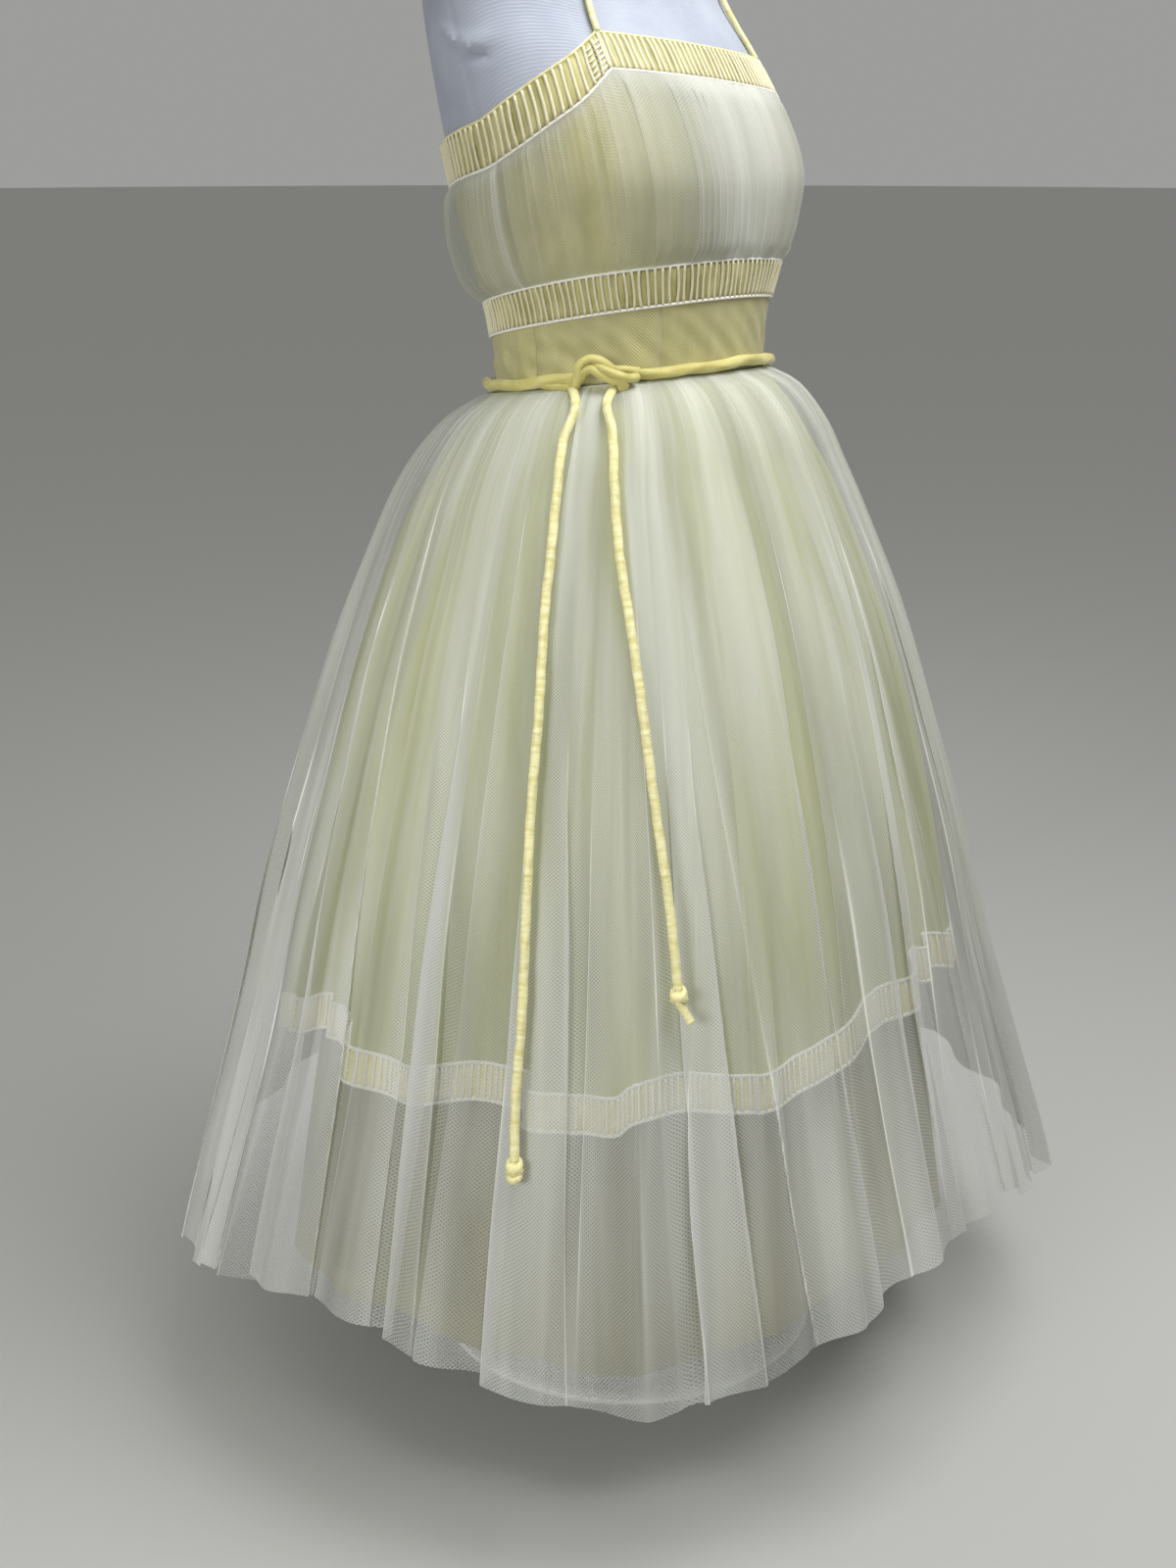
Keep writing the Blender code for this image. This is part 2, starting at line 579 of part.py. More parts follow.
def belt(finish, collection):
    """The cord round the waist, the knot with its loop, the two hanging ends and the knots on them."""
    centre_out = MIDRIFF_OUT + 4 * GAP + BELT_RADIUS
    clear = math.radians(5.4)
    angles = spread(KNOT_ANGLE + clear, KNOT_ANGLE + 2 * math.pi - clear, 32)
    cord("belt_cord", [belt_point(a, centre_out) for a in angles], BELT_RADIUS, finish, collection)

    knot_centre = belt_point(KNOT_ANGLE, centre_out + 0.0055)
    along = Vector((math.cos(KNOT_ANGLE), math.sin(KNOT_ANGLE), 0.0))
    outward = Vector((math.sin(KNOT_ANGLE), -math.cos(KNOT_ANGLE), 0.0))
    up = Vector((0.0, 0.0, 1.0))
    bm = bmesh.new()
    bmesh.ops.create_uvsphere(bm, u_segments=12, v_segments=8, radius=KNOT_RADIUS)
    for vertex in bm.verts:
        vertex.co = knot_centre + along * vertex.co.x + outward * vertex.co.y * 0.75 + up * vertex.co.z * 0.9
    knot = add_mesh("belt_knot", bm, finish, collection)
    loop = [
        knot_centre + along * x + outward * y + up * z
        for x, y, z in (
            (-0.004, 0.000, 0.000), (-0.011, 0.001, 0.005), (-0.008, 0.002, 0.013), (0.001, 0.002, 0.0155),
            (0.010, 0.002, 0.013), (0.016, 0.001, 0.006), (0.014, 0.001, -0.001), (0.005, 0.000, -0.001),
        )
    ]
    joined_tube(smooth_route(loop, 11), BELT_RADIUS * 0.8, finish, knot)

    turns = fold_turns(TULLE_FOLDS)
    for name, route, count in (("long", LONG_END, 24), ("short", SHORT_END, 18)):
        points = []
        for angle, drop in route:
            radians = math.radians(angle)
            height, fold = row_at(TULLE, drop)[3], fold_height(turns, radians)
            over_folds = height * (UNDER_ENDS * 1.1 - fold)
            points.append(skirt_point(TULLE, turns, radians, drop, over_folds + TIE_RADIUS + 5 * GAP))
        points = smooth_route(points, count)
        cord("tie_end_" + name, points, TIE_RADIUS, finish, collection)
        step = (points[-1] - points[-2]).normalized()
        end = points[-1] + step * (END_KNOT_RADIUS * 1.25 + GAP)
        bm = bmesh.new()
        bmesh.ops.create_uvsphere(bm, u_segments=10, v_segments=7, radius=END_KNOT_RADIUS)
        bmesh.ops.scale(bm, verts=bm.verts, vec=(1.0, 1.0, 1.2))
        bmesh.ops.translate(bm, verts=bm.verts, vec=end)
        add_mesh("tie_knot_" + name, bm, finish, collection)


def straps(torso, finish, collection):
    """The two straps, laid over the shoulders on the dress form's own surface."""
    surface = BVHTree.FromObject(torso, bpy.context.evaluated_depsgraph_get())
    behind, above = STRAP_TURN

    def turn_to(angle):
        """The turn about the middle that points at the band's top edge, at that angle round the body."""
        end = form_point(angle, neckline(angle)[0] + STRAP_END_GAP)
        return math.atan2(end.z - WAIST - above, end.y - behind)

    for name, side in (("strap_right", -1), ("strap_left", 1)):
        first = turn_to(side * STRAP_CORNER) % (2 * math.pi)
        last = turn_to(side * STRAP_BACK)
        points = []
        for i in range(STRAP_POINTS):
            share = i / (STRAP_POINTS - 1)
            turn = first + (last - first) * share
            centre = Vector((side * row_at(STRAP_ROUTE, share)[0], behind, WAIST + above))
            direction = Vector((0.0, math.cos(turn), math.sin(turn)))
            hit, normal, _, _ = surface.ray_cast(centre + direction, -direction)
            points.append(hit + normal * (STRAP_RADIUS + STRAP_CLEAR))
        cord(name, points, STRAP_RADIUS, finish, collection, sides=1)


def main():
    for old in list(bpy.data.objects):
        bpy.data.objects.remove(old)
    dress = bpy.data.collections.new("prom dress on a dress form")
    cutters = bpy.data.collections.new("cutters")
    bpy.context.scene.collection.children.link(dress)
    bpy.context.scene.collection.children.link(cutters)
    cutters.hide_render = True

    metal = material("white painted steel", "DDDDDA", 0.45)
    jersey = material("grey jersey", "C3C8D2", 0.85)
    satin = material("yellow satin", "DDD488", 0.40)
    net = material("white net over satin", "C9C79A", 0.80)
    barred = material("barred satin band", "D8D0A0", 0.60)
    tulle = material("grey-white tulle", "C4C6BE", 0.90)
    yellow_net = material("yellow net", "C5BE8C", 0.85)
    cream = material("cream underskirt", "D5D0B4", 0.70)

    stand(metal, dress)
    torso = form_torso(jersey, dress)
    bodice(satin, net, dress)
    bands(barred, dress)
    midriff(net, dress)
    skirt_layer("tulle_skirt", TULLE, TULLE_FOLDS, TULLE_HEM, TULLE_ROWS, tulle, dress)
    skirt_layer("overlayer", OVERLAYER, OVERLAYER_FOLDS, OVERLAYER_HEM, OVERLAYER_ROWS, yellow_net, dress)
    skirt_layer("underskirt", UNDERSKIRT, UNDERSKIRT_FOLDS, UNDERSKIRT_HEM, UNDERSKIRT_ROWS, cream, dress)
    skirt_trim(barred, dress)
    belt(satin, dress)
    straps(torso, satin, dress)


main()
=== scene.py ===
# %% [markdown]
# A tulle prom dress on a dress form. The solids of the part are the fixed frame: they say where
# every piece is. This lesson dresses them, layer by layer, the way a dressmaker would: the form,
# the bodice, the bands, the belt and the three layers of the skirt.

import math

import bmesh
import bpy
import numpy as np
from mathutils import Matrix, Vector
from mathutils.bvhtree import BVHTree


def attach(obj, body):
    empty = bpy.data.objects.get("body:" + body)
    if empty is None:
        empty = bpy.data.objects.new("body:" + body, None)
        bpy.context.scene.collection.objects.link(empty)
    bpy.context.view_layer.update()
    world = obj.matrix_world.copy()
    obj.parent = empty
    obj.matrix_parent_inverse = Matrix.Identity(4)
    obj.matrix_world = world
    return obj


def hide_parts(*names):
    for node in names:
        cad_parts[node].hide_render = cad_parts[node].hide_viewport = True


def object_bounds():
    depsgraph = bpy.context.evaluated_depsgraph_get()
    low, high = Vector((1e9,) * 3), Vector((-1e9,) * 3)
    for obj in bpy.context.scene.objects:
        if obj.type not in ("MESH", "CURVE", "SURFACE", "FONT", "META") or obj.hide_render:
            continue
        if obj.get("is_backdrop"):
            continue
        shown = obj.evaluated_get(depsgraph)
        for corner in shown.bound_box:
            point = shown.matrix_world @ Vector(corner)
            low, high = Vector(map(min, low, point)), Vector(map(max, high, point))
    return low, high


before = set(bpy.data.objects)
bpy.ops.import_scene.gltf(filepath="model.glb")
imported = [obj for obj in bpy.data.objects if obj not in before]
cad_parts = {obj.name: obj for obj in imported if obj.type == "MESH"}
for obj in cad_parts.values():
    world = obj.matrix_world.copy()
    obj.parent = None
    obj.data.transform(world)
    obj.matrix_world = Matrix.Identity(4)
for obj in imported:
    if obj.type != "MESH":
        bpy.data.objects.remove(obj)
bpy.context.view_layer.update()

# %% [markdown]
# The photo was taken from the wearer's right, a little above the waist, looking slightly down. The
# camera stands where the rings of the waist, the bands and the hem look as they do there. The focal
# length is worked out for a 1600-pixel side and a 36 mm sensor.

# %% Camera
def add_object(name, data):
    """A new object in the scene that shows the data."""
    made = bpy.data.objects.new(name, data)
    bpy.context.scene.collection.objects.link(made)
    return made


def aim(made, direction):
    """Turns a camera or a lamp to look that way, upright."""
    made.rotation_euler = direction.to_track_quat("-Z", "Y").to_euler()


CAMERA_PLACE = (-1.2458, -0.9734, 1.0316)
CAMERA_TURN = math.radians(52.0 - 1.22)
CAMERA_PITCH = math.radians(18.72)
FOCAL_PIXELS = 2018.0
PICTURE_PIXELS = 1600
SENSOR = 36.0

camera = add_object("camera", bpy.data.cameras.new("camera"))
camera.location = CAMERA_PLACE
aim(camera, Vector((
    math.sin(CAMERA_TURN) * math.cos(CAMERA_PITCH),
    math.cos(CAMERA_TURN) * math.cos(CAMERA_PITCH),
    -math.sin(CAMERA_PITCH),
)))
camera.data.sensor_width = SENSOR
camera.data.lens = SENSOR * FOCAL_PIXELS / PICTURE_PIXELS
bpy.context.scene.camera = camera
print("lens", round(camera.data.lens, 1), "mm")

# %% [markdown]
# Every surface here is found from a short table, as in the source of the solids: a row gives sizes
# at one height, and a smooth curve runs through the rows. Working on whole arrays of points keeps
# it quick.

# %% Reading a table
WAIST = 0.840
GAP = 0.0003


def smooth_at(table, keys):
    """The other columns of a table at an array of keys, on a smooth curve through its rows."""
    rows = np.array(table, float)
    known = rows[:, 0]
    keys = np.clip(np.asarray(keys, float), known[0], known[-1])
    low = np.clip(np.searchsorted(known, keys, side="right") - 1, 0, len(known) - 2)
    span = (known[low + 1] - known[low])[..., None]
    share = (keys[..., None] - known[low][..., None]) / span
    order = np.arange(len(known))
    before, after = np.maximum(order - 1, 0), np.minimum(order + 1, len(known) - 1)
    slopes = (rows[after, 1:] - rows[before, 1:]) / (known[after] - known[before])[:, None]
    square, cube = share**2, share**3
    found = (
        rows[low, 1:] * (2 * cube - 3 * square + 1)
        + slopes[low] * span * (cube - 2 * square + share)
        + rows[low + 1, 1:] * (3 * square - 2 * cube)
        + slopes[low + 1] * span * (cube - square)
    )
    return [found[..., i] for i in range(found.shape[-1])]


def along(path):
    """The distance from the start of a path to each of its points."""
    return np.concatenate([[0.0], np.cumsum(np.linalg.norm(np.diff(path, axis=0), axis=1))])


def turned(angle):
    """Angles brought to between -180 and 180 degrees, in radians."""
    return (angle + math.pi) % (2 * math.pi) - math.pi


def ramp(value, low, high):
    """0 below low, 1 above high, and a smooth rise between them."""
    share = np.clip((value - low) / (high - low), 0.0, 1.0)
    return share * share * (3 - 2 * share)


# %% [markdown]
# The dress form is round and smooth, so its sections are wide ovals, one for each height over the
# waist. A row gives the height, half the width, the depth to the front and to the back, how far the
# section stands back, and how much the bust swells it. The waist line and the bands over it rise to
# the front, as in the photo.

# %% The dress form's sections
FORM = (
    (-0.256, 0.136, 0.092, 0.098, 0.010, 0.00),
    (-0.250, 0.146, 0.102, 0.108, 0.010, 0.00),
    (-0.200, 0.156, 0.108, 0.116, 0.010, 0.00),
    (-0.120, 0.149, 0.103, 0.111, 0.006, 0.00),
    (-0.055, 0.133, 0.096, 0.100, 0.002, 0.00),
    (0.000, 0.1195, 0.0905, 0.0905, 0.000, 0.00),
    (0.045, 0.1220, 0.0930, 0.0930, 0.001, 0.02),
    (0.080, 0.1300, 0.0980, 0.1010, 0.004, 0.06),
    (0.115, 0.1370, 0.1030, 0.1080, 0.009, 0.11),
    (0.150, 0.1430, 0.1060, 0.1110, 0.014, 0.14),
    (0.190, 0.1465, 0.1040, 0.1110, 0.022, 0.10),
    (0.235, 0.1470, 0.0960, 0.1040, 0.036, 0.03),
    (0.271, 0.1450, 0.0860, 0.0930, 0.050, 0.00),
    (0.310, 0.1490, 0.0760, 0.0800, 0.056, 0.00),
    (0.338, 0.1500, 0.0660, 0.0680, 0.058, 0.00),
    (0.360, 0.1400, 0.0590, 0.0600, 0.057, 0.00),
    (0.380, 0.1150, 0.0550, 0.0560, 0.054, 0.00),
    (0.396, 0.0840, 0.0520, 0.0530, 0.050, 0.00),
    (0.412, 0.0620, 0.0500, 0.0500, 0.045, 0.00),
    (0.440, 0.0540, 0.0480, 0.0480, 0.040, 0.00),
    (0.476, 0.0520, 0.0470, 0.0470, 0.036, 0.00),
    (0.482, 0.0460, 0.0410, 0.0410, 0.036, 0.00),
)
BUST_ANGLE = math.radians(32.0)
BUST_SPREAD = math.radians(24.0)
LEAN_REACH = 0.12
WAIST_LINE = (0.0, 0.0130, -0.0028)
UNDERBUST_TOP = (0.0666, 0.0228, -0.0030)
UNDERBUST_BOTTOM = (0.0412, 0.0204, -0.0022)
NECKLINE_FRONT = ((0.0, 0.2385, 0.0235), (37.0, 0.2385, 0.0245))
NECKLINE_SIDE = (
    (37.0, 0.2385, 0.0245), (49.0, 0.2200, 0.0290), (62.0, 0.2040, 0.0310), (75.0, 0.1890, 0.0320),
    (92.0, 0.1725, 0.0310), (132.0, 0.1585, 0.0300), (180.0, 0.1540, 0.0300),
)
RIGHT_STRAP_LIFT = 0.0125
STRAP_CORNER = math.radians(37.0)
PRINCESS = math.radians(32.0)
SIDE_SEAM = math.radians(86.0)
HALF = math.pi


def edge_height(edge, angle):
    """The height over the waist of a band's edge."""
    middle, to_front, to_left = edge
    return middle + to_front * np.cos(angle) + to_left * np.sin(angle)


def form_place(angle, height, out=0.0):
    """Points on the dress form at a height over the waist, or that far out from it."""
    lean = edge_height(WAIST_LINE, angle) * np.maximum(0.0, 1.0 - np.abs(height) / LEAN_REACH)
    half_width, front, back, middle, bust = smooth_at(FORM, height - lean)
    across, forward = np.sin(angle), np.cos(angle)
    depth = np.where(forward > 0, front, back)
    swell = 1.0 + bust * sum(
        np.exp(-(((turned(angle) - side * BUST_ANGLE) / BUST_SPREAD) ** 2)) for side in (-1, 1)
    )
    away_x, away_y = across / half_width, -forward / depth
    length = np.hypot(away_x, away_y)
    x = half_width * across * swell + out * away_x / length
    y = middle - depth * forward * swell + out * away_y / length
    return np.stack(np.broadcast_arrays(x, y, WAIST + height), -1)


def neckline(angle):
    """The heights over the waist of the top band's two edges, at the top and at the bottom."""
    from_front = np.abs(np.degrees(turned(angle)))
    front, side = smooth_at(NECKLINE_FRONT, from_front), smooth_at(NECKLINE_SIDE, from_front)
    inside = np.abs(turned(angle)) <= STRAP_CORNER
    top = np.where(inside, front[0], side[0]) - RIGHT_STRAP_LIFT * np.sin(angle)
    return top, top - np.where(inside, front[1], side[1])


ring = np.linspace(-HALF, HALF, 200)
print("waist", round(along(form_place(ring, edge_height(WAIST_LINE, ring)))[-1], 3), "m round")

# %% [markdown]
# A skirt layer flares from the waist seam and falls in folds. Its sections go by the drop from the
# waist: half the width, the depth, how far the middle stands back, and how deep the large folds
# are. The folds have their own tables of angles and heights. The whole layer leans with the waist
# line, higher at the front and a little on the right.

# %% The skirt's sections
TULLE = (
    (0.006, 0.1265, 0.0975, 0.0010, 0.0010),
    (0.020, 0.1500, 0.1230, 0.0030, 0.0030),
    (0.048, 0.1710, 0.1480, 0.0060, 0.0050),
    (0.078, 0.1870, 0.1640, 0.0085, 0.0060),
    (0.116, 0.2040, 0.1820, 0.0085, 0.0060),
    (0.194, 0.2350, 0.2140, 0.0085, 0.0070),
    (0.291, 0.2660, 0.2445, 0.0085, 0.0080),
    (0.388, 0.2940, 0.2730, 0.0085, 0.0090),
    (0.484, 0.3180, 0.2960, 0.0085, 0.0100),
    (0.581, 0.3470, 0.3230, 0.0085, 0.0110),
    (0.678, 0.3760, 0.3520, 0.0085, 0.0120),
    (0.740, 0.3920, 0.3680, 0.0085, 0.0120),
)
OVERLAYER = (
    (0.006, 0.1243, 0.0953, 0.0010, 0.0000),
    (0.020, 0.1330, 0.1055, 0.0020, 0.0020),
    (0.048, 0.1500, 0.1270, 0.0040, 0.0040),
    (0.100, 0.1800, 0.1570, 0.0050, 0.0060),
    (0.200, 0.2170, 0.1960, 0.0050, 0.0080),
    (0.300, 0.2450, 0.2250, 0.0040, 0.0100),
    (0.400, 0.2670, 0.2470, 0.0030, 0.0120),
    (0.500, 0.2840, 0.2650, 0.0030, 0.0130),
    (0.560, 0.2940, 0.2760, 0.0030, 0.0130),
)
UNDERSKIRT = (
    (0.006, 0.1223, 0.0933, 0.0010, 0.0000),
    (0.020, 0.1290, 0.1010, 0.0020, 0.0010),
    (0.048, 0.1430, 0.1190, 0.0040, 0.0020),
    (0.100, 0.1670, 0.1430, 0.0050, 0.0030),
    (0.200, 0.1990, 0.1760, 0.0050, 0.0040),
    (0.300, 0.2220, 0.2010, 0.0040, 0.0060),
    (0.450, 0.2440, 0.2250, 0.0030, 0.0080),
    (0.600, 0.2680, 0.2490, 0.0030, 0.0100),
    (0.745, 0.2900, 0.2710, 0.0030, 0.0110),
)
LEAN = ((0.0, 0.139, 0.0227), (0.10, 0.100, 0.0210), (0.40, 0.090, 0.0170), (0.74, 0.078, 0.0120))
SKIRT_TOP = 0.0062
TULLE_HEM = (0.692, 0.028)
UNDERSKIRT_HEM = (0.730, 0.012)
OVERLAYER_HEM = (
    (-180, 0.510), (-160, 0.530), (-142, 0.546), (-125, 0.520), (-111, 0.500), (-102, 0.497),
    (-89, 0.522), (-78, 0.515), (-66, 0.518), (-54, 0.532), (-44, 0.526), (-26, 0.534), (-11, 0.510),
    (4, 0.490), (20, 0.498), (36, 0.514), (52, 0.530), (70, 0.518), (86, 0.502), (100, 0.500),
    (114, 0.520), (130, 0.536), (148, 0.520), (164, 0.502), (180, 0.510),
)
TULLE_FOLDS = (
    (6, 0.8), (18, 1.0), (30, 0.6), (43, 1.1), (57, 0.7), (69, 1.0), (81, 0.8),
    (94, 1.0), (108, 0.7), (120, 1.1), (134, 0.8), (147, 1.0), (160, 0.6), (173, 0.9),
)
OVERLAYER_FOLDS = (
    (8, 1.0), (26, 0.7), (42, 1.1), (60, 0.6), (76, 1.0), (94, 0.8),
    (110, 1.1), (126, 0.6), (144, 0.9), (158, 1.0), (172, 0.7),
)
UNDERSKIRT_FOLDS = ((13, 0.8), (40, 1.1), (66, 0.7), (92, 1.0), (118, 0.8), (144, 1.1), (168, 0.7))


def fold_turns(folds):
    """Crests and valleys all round, as arrays of angles and heights, from a table for half a skirt."""
    turns = []
    for start in (-90.0, 90.0):
        crests = folds if start < 0 else [(180 - angle, height) for angle, height in reversed(folds)]
        turns.append((start, 0.0))
        for i, (angle, height) in enumerate(crests):
            turns.append((start + angle, height))
            if i + 1 < len(crests):
                turns.append((start + (angle + crests[i + 1][0]) / 2, 0.0))
    turns.append((270.0, 0.0))
    return np.radians([t[0] for t in turns]), np.array([t[1] for t in turns])


def fold_height(turns, angle):
    """The height of the large folds at each angle, as a share."""
    angles, heights = turns
    angle = (np.asarray(angle) + math.pi / 2) % (2 * math.pi) - math.pi / 2
    low = np.clip(np.searchsorted(angles, angle, side="right") - 1, 0, len(angles) - 2)
    share = 0.5 - 0.5 * np.cos(math.pi * (angle - angles[low]) / (angles[low + 1] - angles[low]))
    return heights[low] + (heights[low + 1] - heights[low]) * share


def skirt_place(layer, turns, angle, drop, out=0.0):
    """Points on the outer surface of a skirt layer, or that far out from it."""
    half_width, depth, middle, fold = smooth_at(layer, drop)
    away = fold * fold_height(turns, angle) + out
    x = (half_width + away) * np.sin(angle)
    y = middle - (depth + away) * np.cos(angle)
    to_front, to_right = smooth_at(LEAN, drop)
    return np.stack(np.broadcast_arrays(x, y, WAIST - drop - to_front * y - to_right * x), -1)


def corner_hem(middle, half):
    """The drop of a hem that is lowest at the four corners of the cut, as a function of the angle."""
    return lambda angle: middle - half * np.cos(4 * angle)


tulle_turns, over_turns, under_turns = (
    fold_turns(folds) for folds in (TULLE_FOLDS, OVERLAYER_FOLDS, UNDERSKIRT_FOLDS))
hem_line = skirt_place(TULLE, tulle_turns, ring, corner_hem(*TULLE_HEM)(ring))
print("hem of the tulle", round(along(hem_line)[-1], 2), "m round before its small folds")

# %% [markdown]
# A material starts from the real cloth. One function turns a hex colour to linear light and one
# adds a node. Cloth reads the piece's own map of its flat cut, in metres, so a weave keeps its real
# size and gathers with the cloth.

# %% Nodes
def linear(colour):
    """An sRGB hex colour as linear red, green, blue and a full alpha."""
    levels = [int(colour[i:i + 2], 16) / 255 for i in (0, 2, 4)]
    return (*[v / 12.92 if v <= 0.04045 else ((v + 0.055) / 1.055) ** 2.4 for v in levels], 1.0)


def add(tree, kind, inputs=None, **settings):
    """One node of that kind, with its settings and with values or links on its inputs."""
    made = tree.nodes.new("ShaderNode" + kind)
    for name, value in settings.items():
        setattr(made, name, value)
    for key, value in (inputs or {}).items():
        if isinstance(value, bpy.types.NodeSocket):
            tree.links.new(value, made.inputs[key])
        else:
            made.inputs[key].default_value = value
    return made


def finish_named(name, **sockets):
    """A material of one Principled shader with plain values on its sockets, its tree and its shader."""
    made = bpy.data.materials.new(name)
    made.use_nodes = True
    tree = made.node_tree
    shader = tree.nodes["Principled BSDF"]
    for key, value in sockets.items():
        shader.inputs[key.replace("_", " ")].default_value = value
    print("material", name)
    return made, tree, shader


def cut_map(tree):
    """The piece's flat cut in metres: a vector, and its two parts, across and down."""
    source = add(tree, "UVMap", uv_map="cut").outputs[0]
    parts = add(tree, "SeparateXYZ", {0: source})
    return source, parts.outputs[0], parts.outputs[1]


def coloured(tree, shader, share, first, second):
    """Gives the shader a colour between two hex colours, by a share from 0 to 1."""
    mix = add(tree, "Mix", {0: share, 6: linear(first), 7: linear(second)}, data_type="RGBA")
    tree.links.new(mix.outputs[2], shader.inputs["Base Color"])


def noise(tree, place, scale, detail, **inputs):
    """Soft noise over a place, from 0 to 1."""
    node = add(tree, "TexNoise", {"Vector": place, "Scale": scale, "Detail": detail, **inputs})
    return node.outputs[0]


def maths(tree, operation, first, second=0.0, third=0.0):
    """One Math node, clamped nowhere."""
    return add(tree, "Math", {0: first, 1: second, 2: third}, operation=operation).outputs[0]


def between(tree, value, low, high, low_out=0.0, high_out=1.0):
    """A value brought from one range to another, held at its ends."""
    node = add(tree, "MapRange", {0: value, 1: low, 2: high, 3: low_out, 4: high_out})
    return node.outputs[0]


def bumped(tree, shader, height, distance, strength=1.0):
    """Relief of that depth in metres on the shader's normal."""
    bump = add(tree, "Bump", {"Height": height, "Distance": distance, "Strength": strength})
    tree.links.new(bump.outputs[0], shader.inputs["Normal"])


# %% [markdown]
# Net and tulle are knitted so that thin threads go round small open cells. The real cells are 1.5
# to 2 mm across. They are drawn 1.9 mm across here, turned by 45 degrees, so that they show at this
# picture's size. The share that the threads cover is the cloth's alpha.

# %% Net
NET_CELL = 0.0019
THREAD_SHARE = 0.35
TURN_COVER = 0.40


def net_threads(tree, source):
    """1 on the threads of a net and 0 in its cells."""
    turn = (0, 0, math.radians(45))
    placed = add(tree, "Mapping", {0: source, "Rotation": turn, "Scale": (1 / NET_CELL,) * 3})
    cells = add(tree, "TexVoronoi", {"Vector": placed.outputs[0], "Scale": 1.0, "Randomness": 0.12},
                feature="DISTANCE_TO_EDGE", voronoi_dimensions="2D")
    return between(tree, cells.outputs["Distance"], 0.10, 0.28, 1.0, 0.0)


def stretched(tree, across, down, per_metre, length, seed):
    """A place for noise that repeats that often across the cloth and is that long down it."""
    return add(tree, "CombineXYZ", {0: maths(tree, "MULTIPLY", across, per_metre),
                                    1: maths(tree, "MULTIPLY", down, 1 / length), 2: seed}).outputs[0]


def streaks(tree, across, down, per_metre, length, seed):
    """Long soft streaks down the cloth, as gathers and creases make them, from 0 to 1."""
    place = stretched(tree, across, down, per_metre, length, seed)
    return between(tree, noise(tree, place, 1.0, 1.5, Distortion=0.5), 0.32, 0.68)


def attribute(tree, name):
    """A value kept on the points of the piece."""
    return add(tree, "Attribute", attribute_name=name).outputs["Fac"]


def net_finish(name, colour, light_colour, shares, grain, top=(0.2, 0.0)):
    """Net of one colour, pale where it is drawn together. Shares: what the cloth covers where it lies
    open and where it is gathered. Grain: how much the threads show. Top: metres from the top edge, and
    cover added there. The piece's own values full and edge add cover where it is gathered more and
    where a fold turns."""
    made, tree, shader = finish_named(name, Roughness=0.78, Sheen_Weight=0.2, Specular_IOR_Level=0.2)
    source, across, down = cut_map(tree)
    soft = streaks(tree, across, down, 9.0, 0.50, 3.0)
    fine = streaks(tree, across, down, 50.0, 0.25, 7.0)
    drawn = maths(tree, "MULTIPLY_ADD", fine, 0.3, maths(tree, "MULTIPLY", soft, 0.7))
    near_top = between(tree, down, 0.0, top[0], 1.0, 0.0)
    edge = attribute(tree, "edge")
    cover = between(tree, drawn, 0.15, 0.85, shares[0], shares[1])
    cover = maths(tree, "ADD", cover, attribute(tree, "full"))
    cover = maths(tree, "MULTIPLY_ADD", edge, TURN_COVER, cover)
    cover = maths(tree, "MULTIPLY_ADD", near_top, top[1], cover)
    threads = maths(tree, "SUBTRACT", net_threads(tree, source), THREAD_SHARE)
    alpha = maths(tree, "MULTIPLY_ADD", threads, grain, cover)
    tree.links.new(add(tree, "Clamp", {0: alpha}).outputs[0], shader.inputs["Alpha"])
    pale = maths(tree, "MULTIPLY_ADD", drawn, 0.45, edge)
    pale = maths(tree, "MULTIPLY_ADD", near_top, 0.10, pale)
    coloured(tree, shader, add(tree, "Clamp", {0: pale}).outputs[0], colour, light_colour)
    return made


tulle = net_finish(
    "grey-white tulle, knitted net", "C4C6C0", "F4F6F0", (0.13, 0.38), 0.32, (0.50, 0.18))
yellow_net = net_finish("yellow net", "B0B35E", "E8E9A0", (0.55, 0.85), 0.14, (0.3, 0.10))
bodice_net = net_finish("white bodice net", "B3B5A8", "DCDCD4", (0.34, 0.56), 0.18, (0.02, 0.1))

# %% [markdown]
# The lining, belt and straps are a pale yellow satin: long floats of a filament yarn, so it has a
# soft gloss and a fine grain, about 0.4 mm, drawn 1 mm here. Sewn into a narrow tube it creases
# across.

# %% Satin
def satin_finish(name, colour, crease_shade_colour, crease, relief=0.6):
    """Satin of one colour, with painted shade in its creases, which come at that pitch in metres down
    the piece.
    """
    made, tree, shader = finish_named(
        name, Roughness=0.45, Specular_IOR_Level=0.4, Sheen_Weight=0.25, Sheen_Roughness=0.4)
    source, across, down = cut_map(tree)
    wrinkles = noise(tree, stretched(tree, across, down, 60.0, crease, 2.0), 1.0, 3.0, Roughness=0.55)
    grain = noise(tree, source, 1000.0, 1.0)
    # Painted shade: the hollows of the creases take the deeper colour.
    coloured(tree, shader, between(tree, wrinkles, 0.35, 0.6), crease_shade_colour, colour)
    bumped(tree, shader, maths(tree, "MULTIPLY_ADD", grain, 0.15, wrinkles), 0.0010, relief)
    return made


# The second colour of each satin is painted shade in its creases.
belt_satin = satin_finish("yellow satin rouleau of the belt", "D6CE86", "C2B768", 0.030, 0.3)
tie_satin = satin_finish("yellow satin rouleau, puckered", "F2ECB8", "DCD48E", 0.0050, 0.45)
lining_satin = satin_finish("yellow satin lining", "CDC784", "BAB56F", 0.05)
band_satin = satin_finish("yellow satin of the bands", "C6BF86", "A39C60", 0.03)
trim_satin = satin_finish("yellow satin of the skirt trim", "F6EDB0", "E0D488", 0.03)
midriff_satin = satin_finish("yellow satin of the midriff", "DFD99A", "C9C383", 0.08)

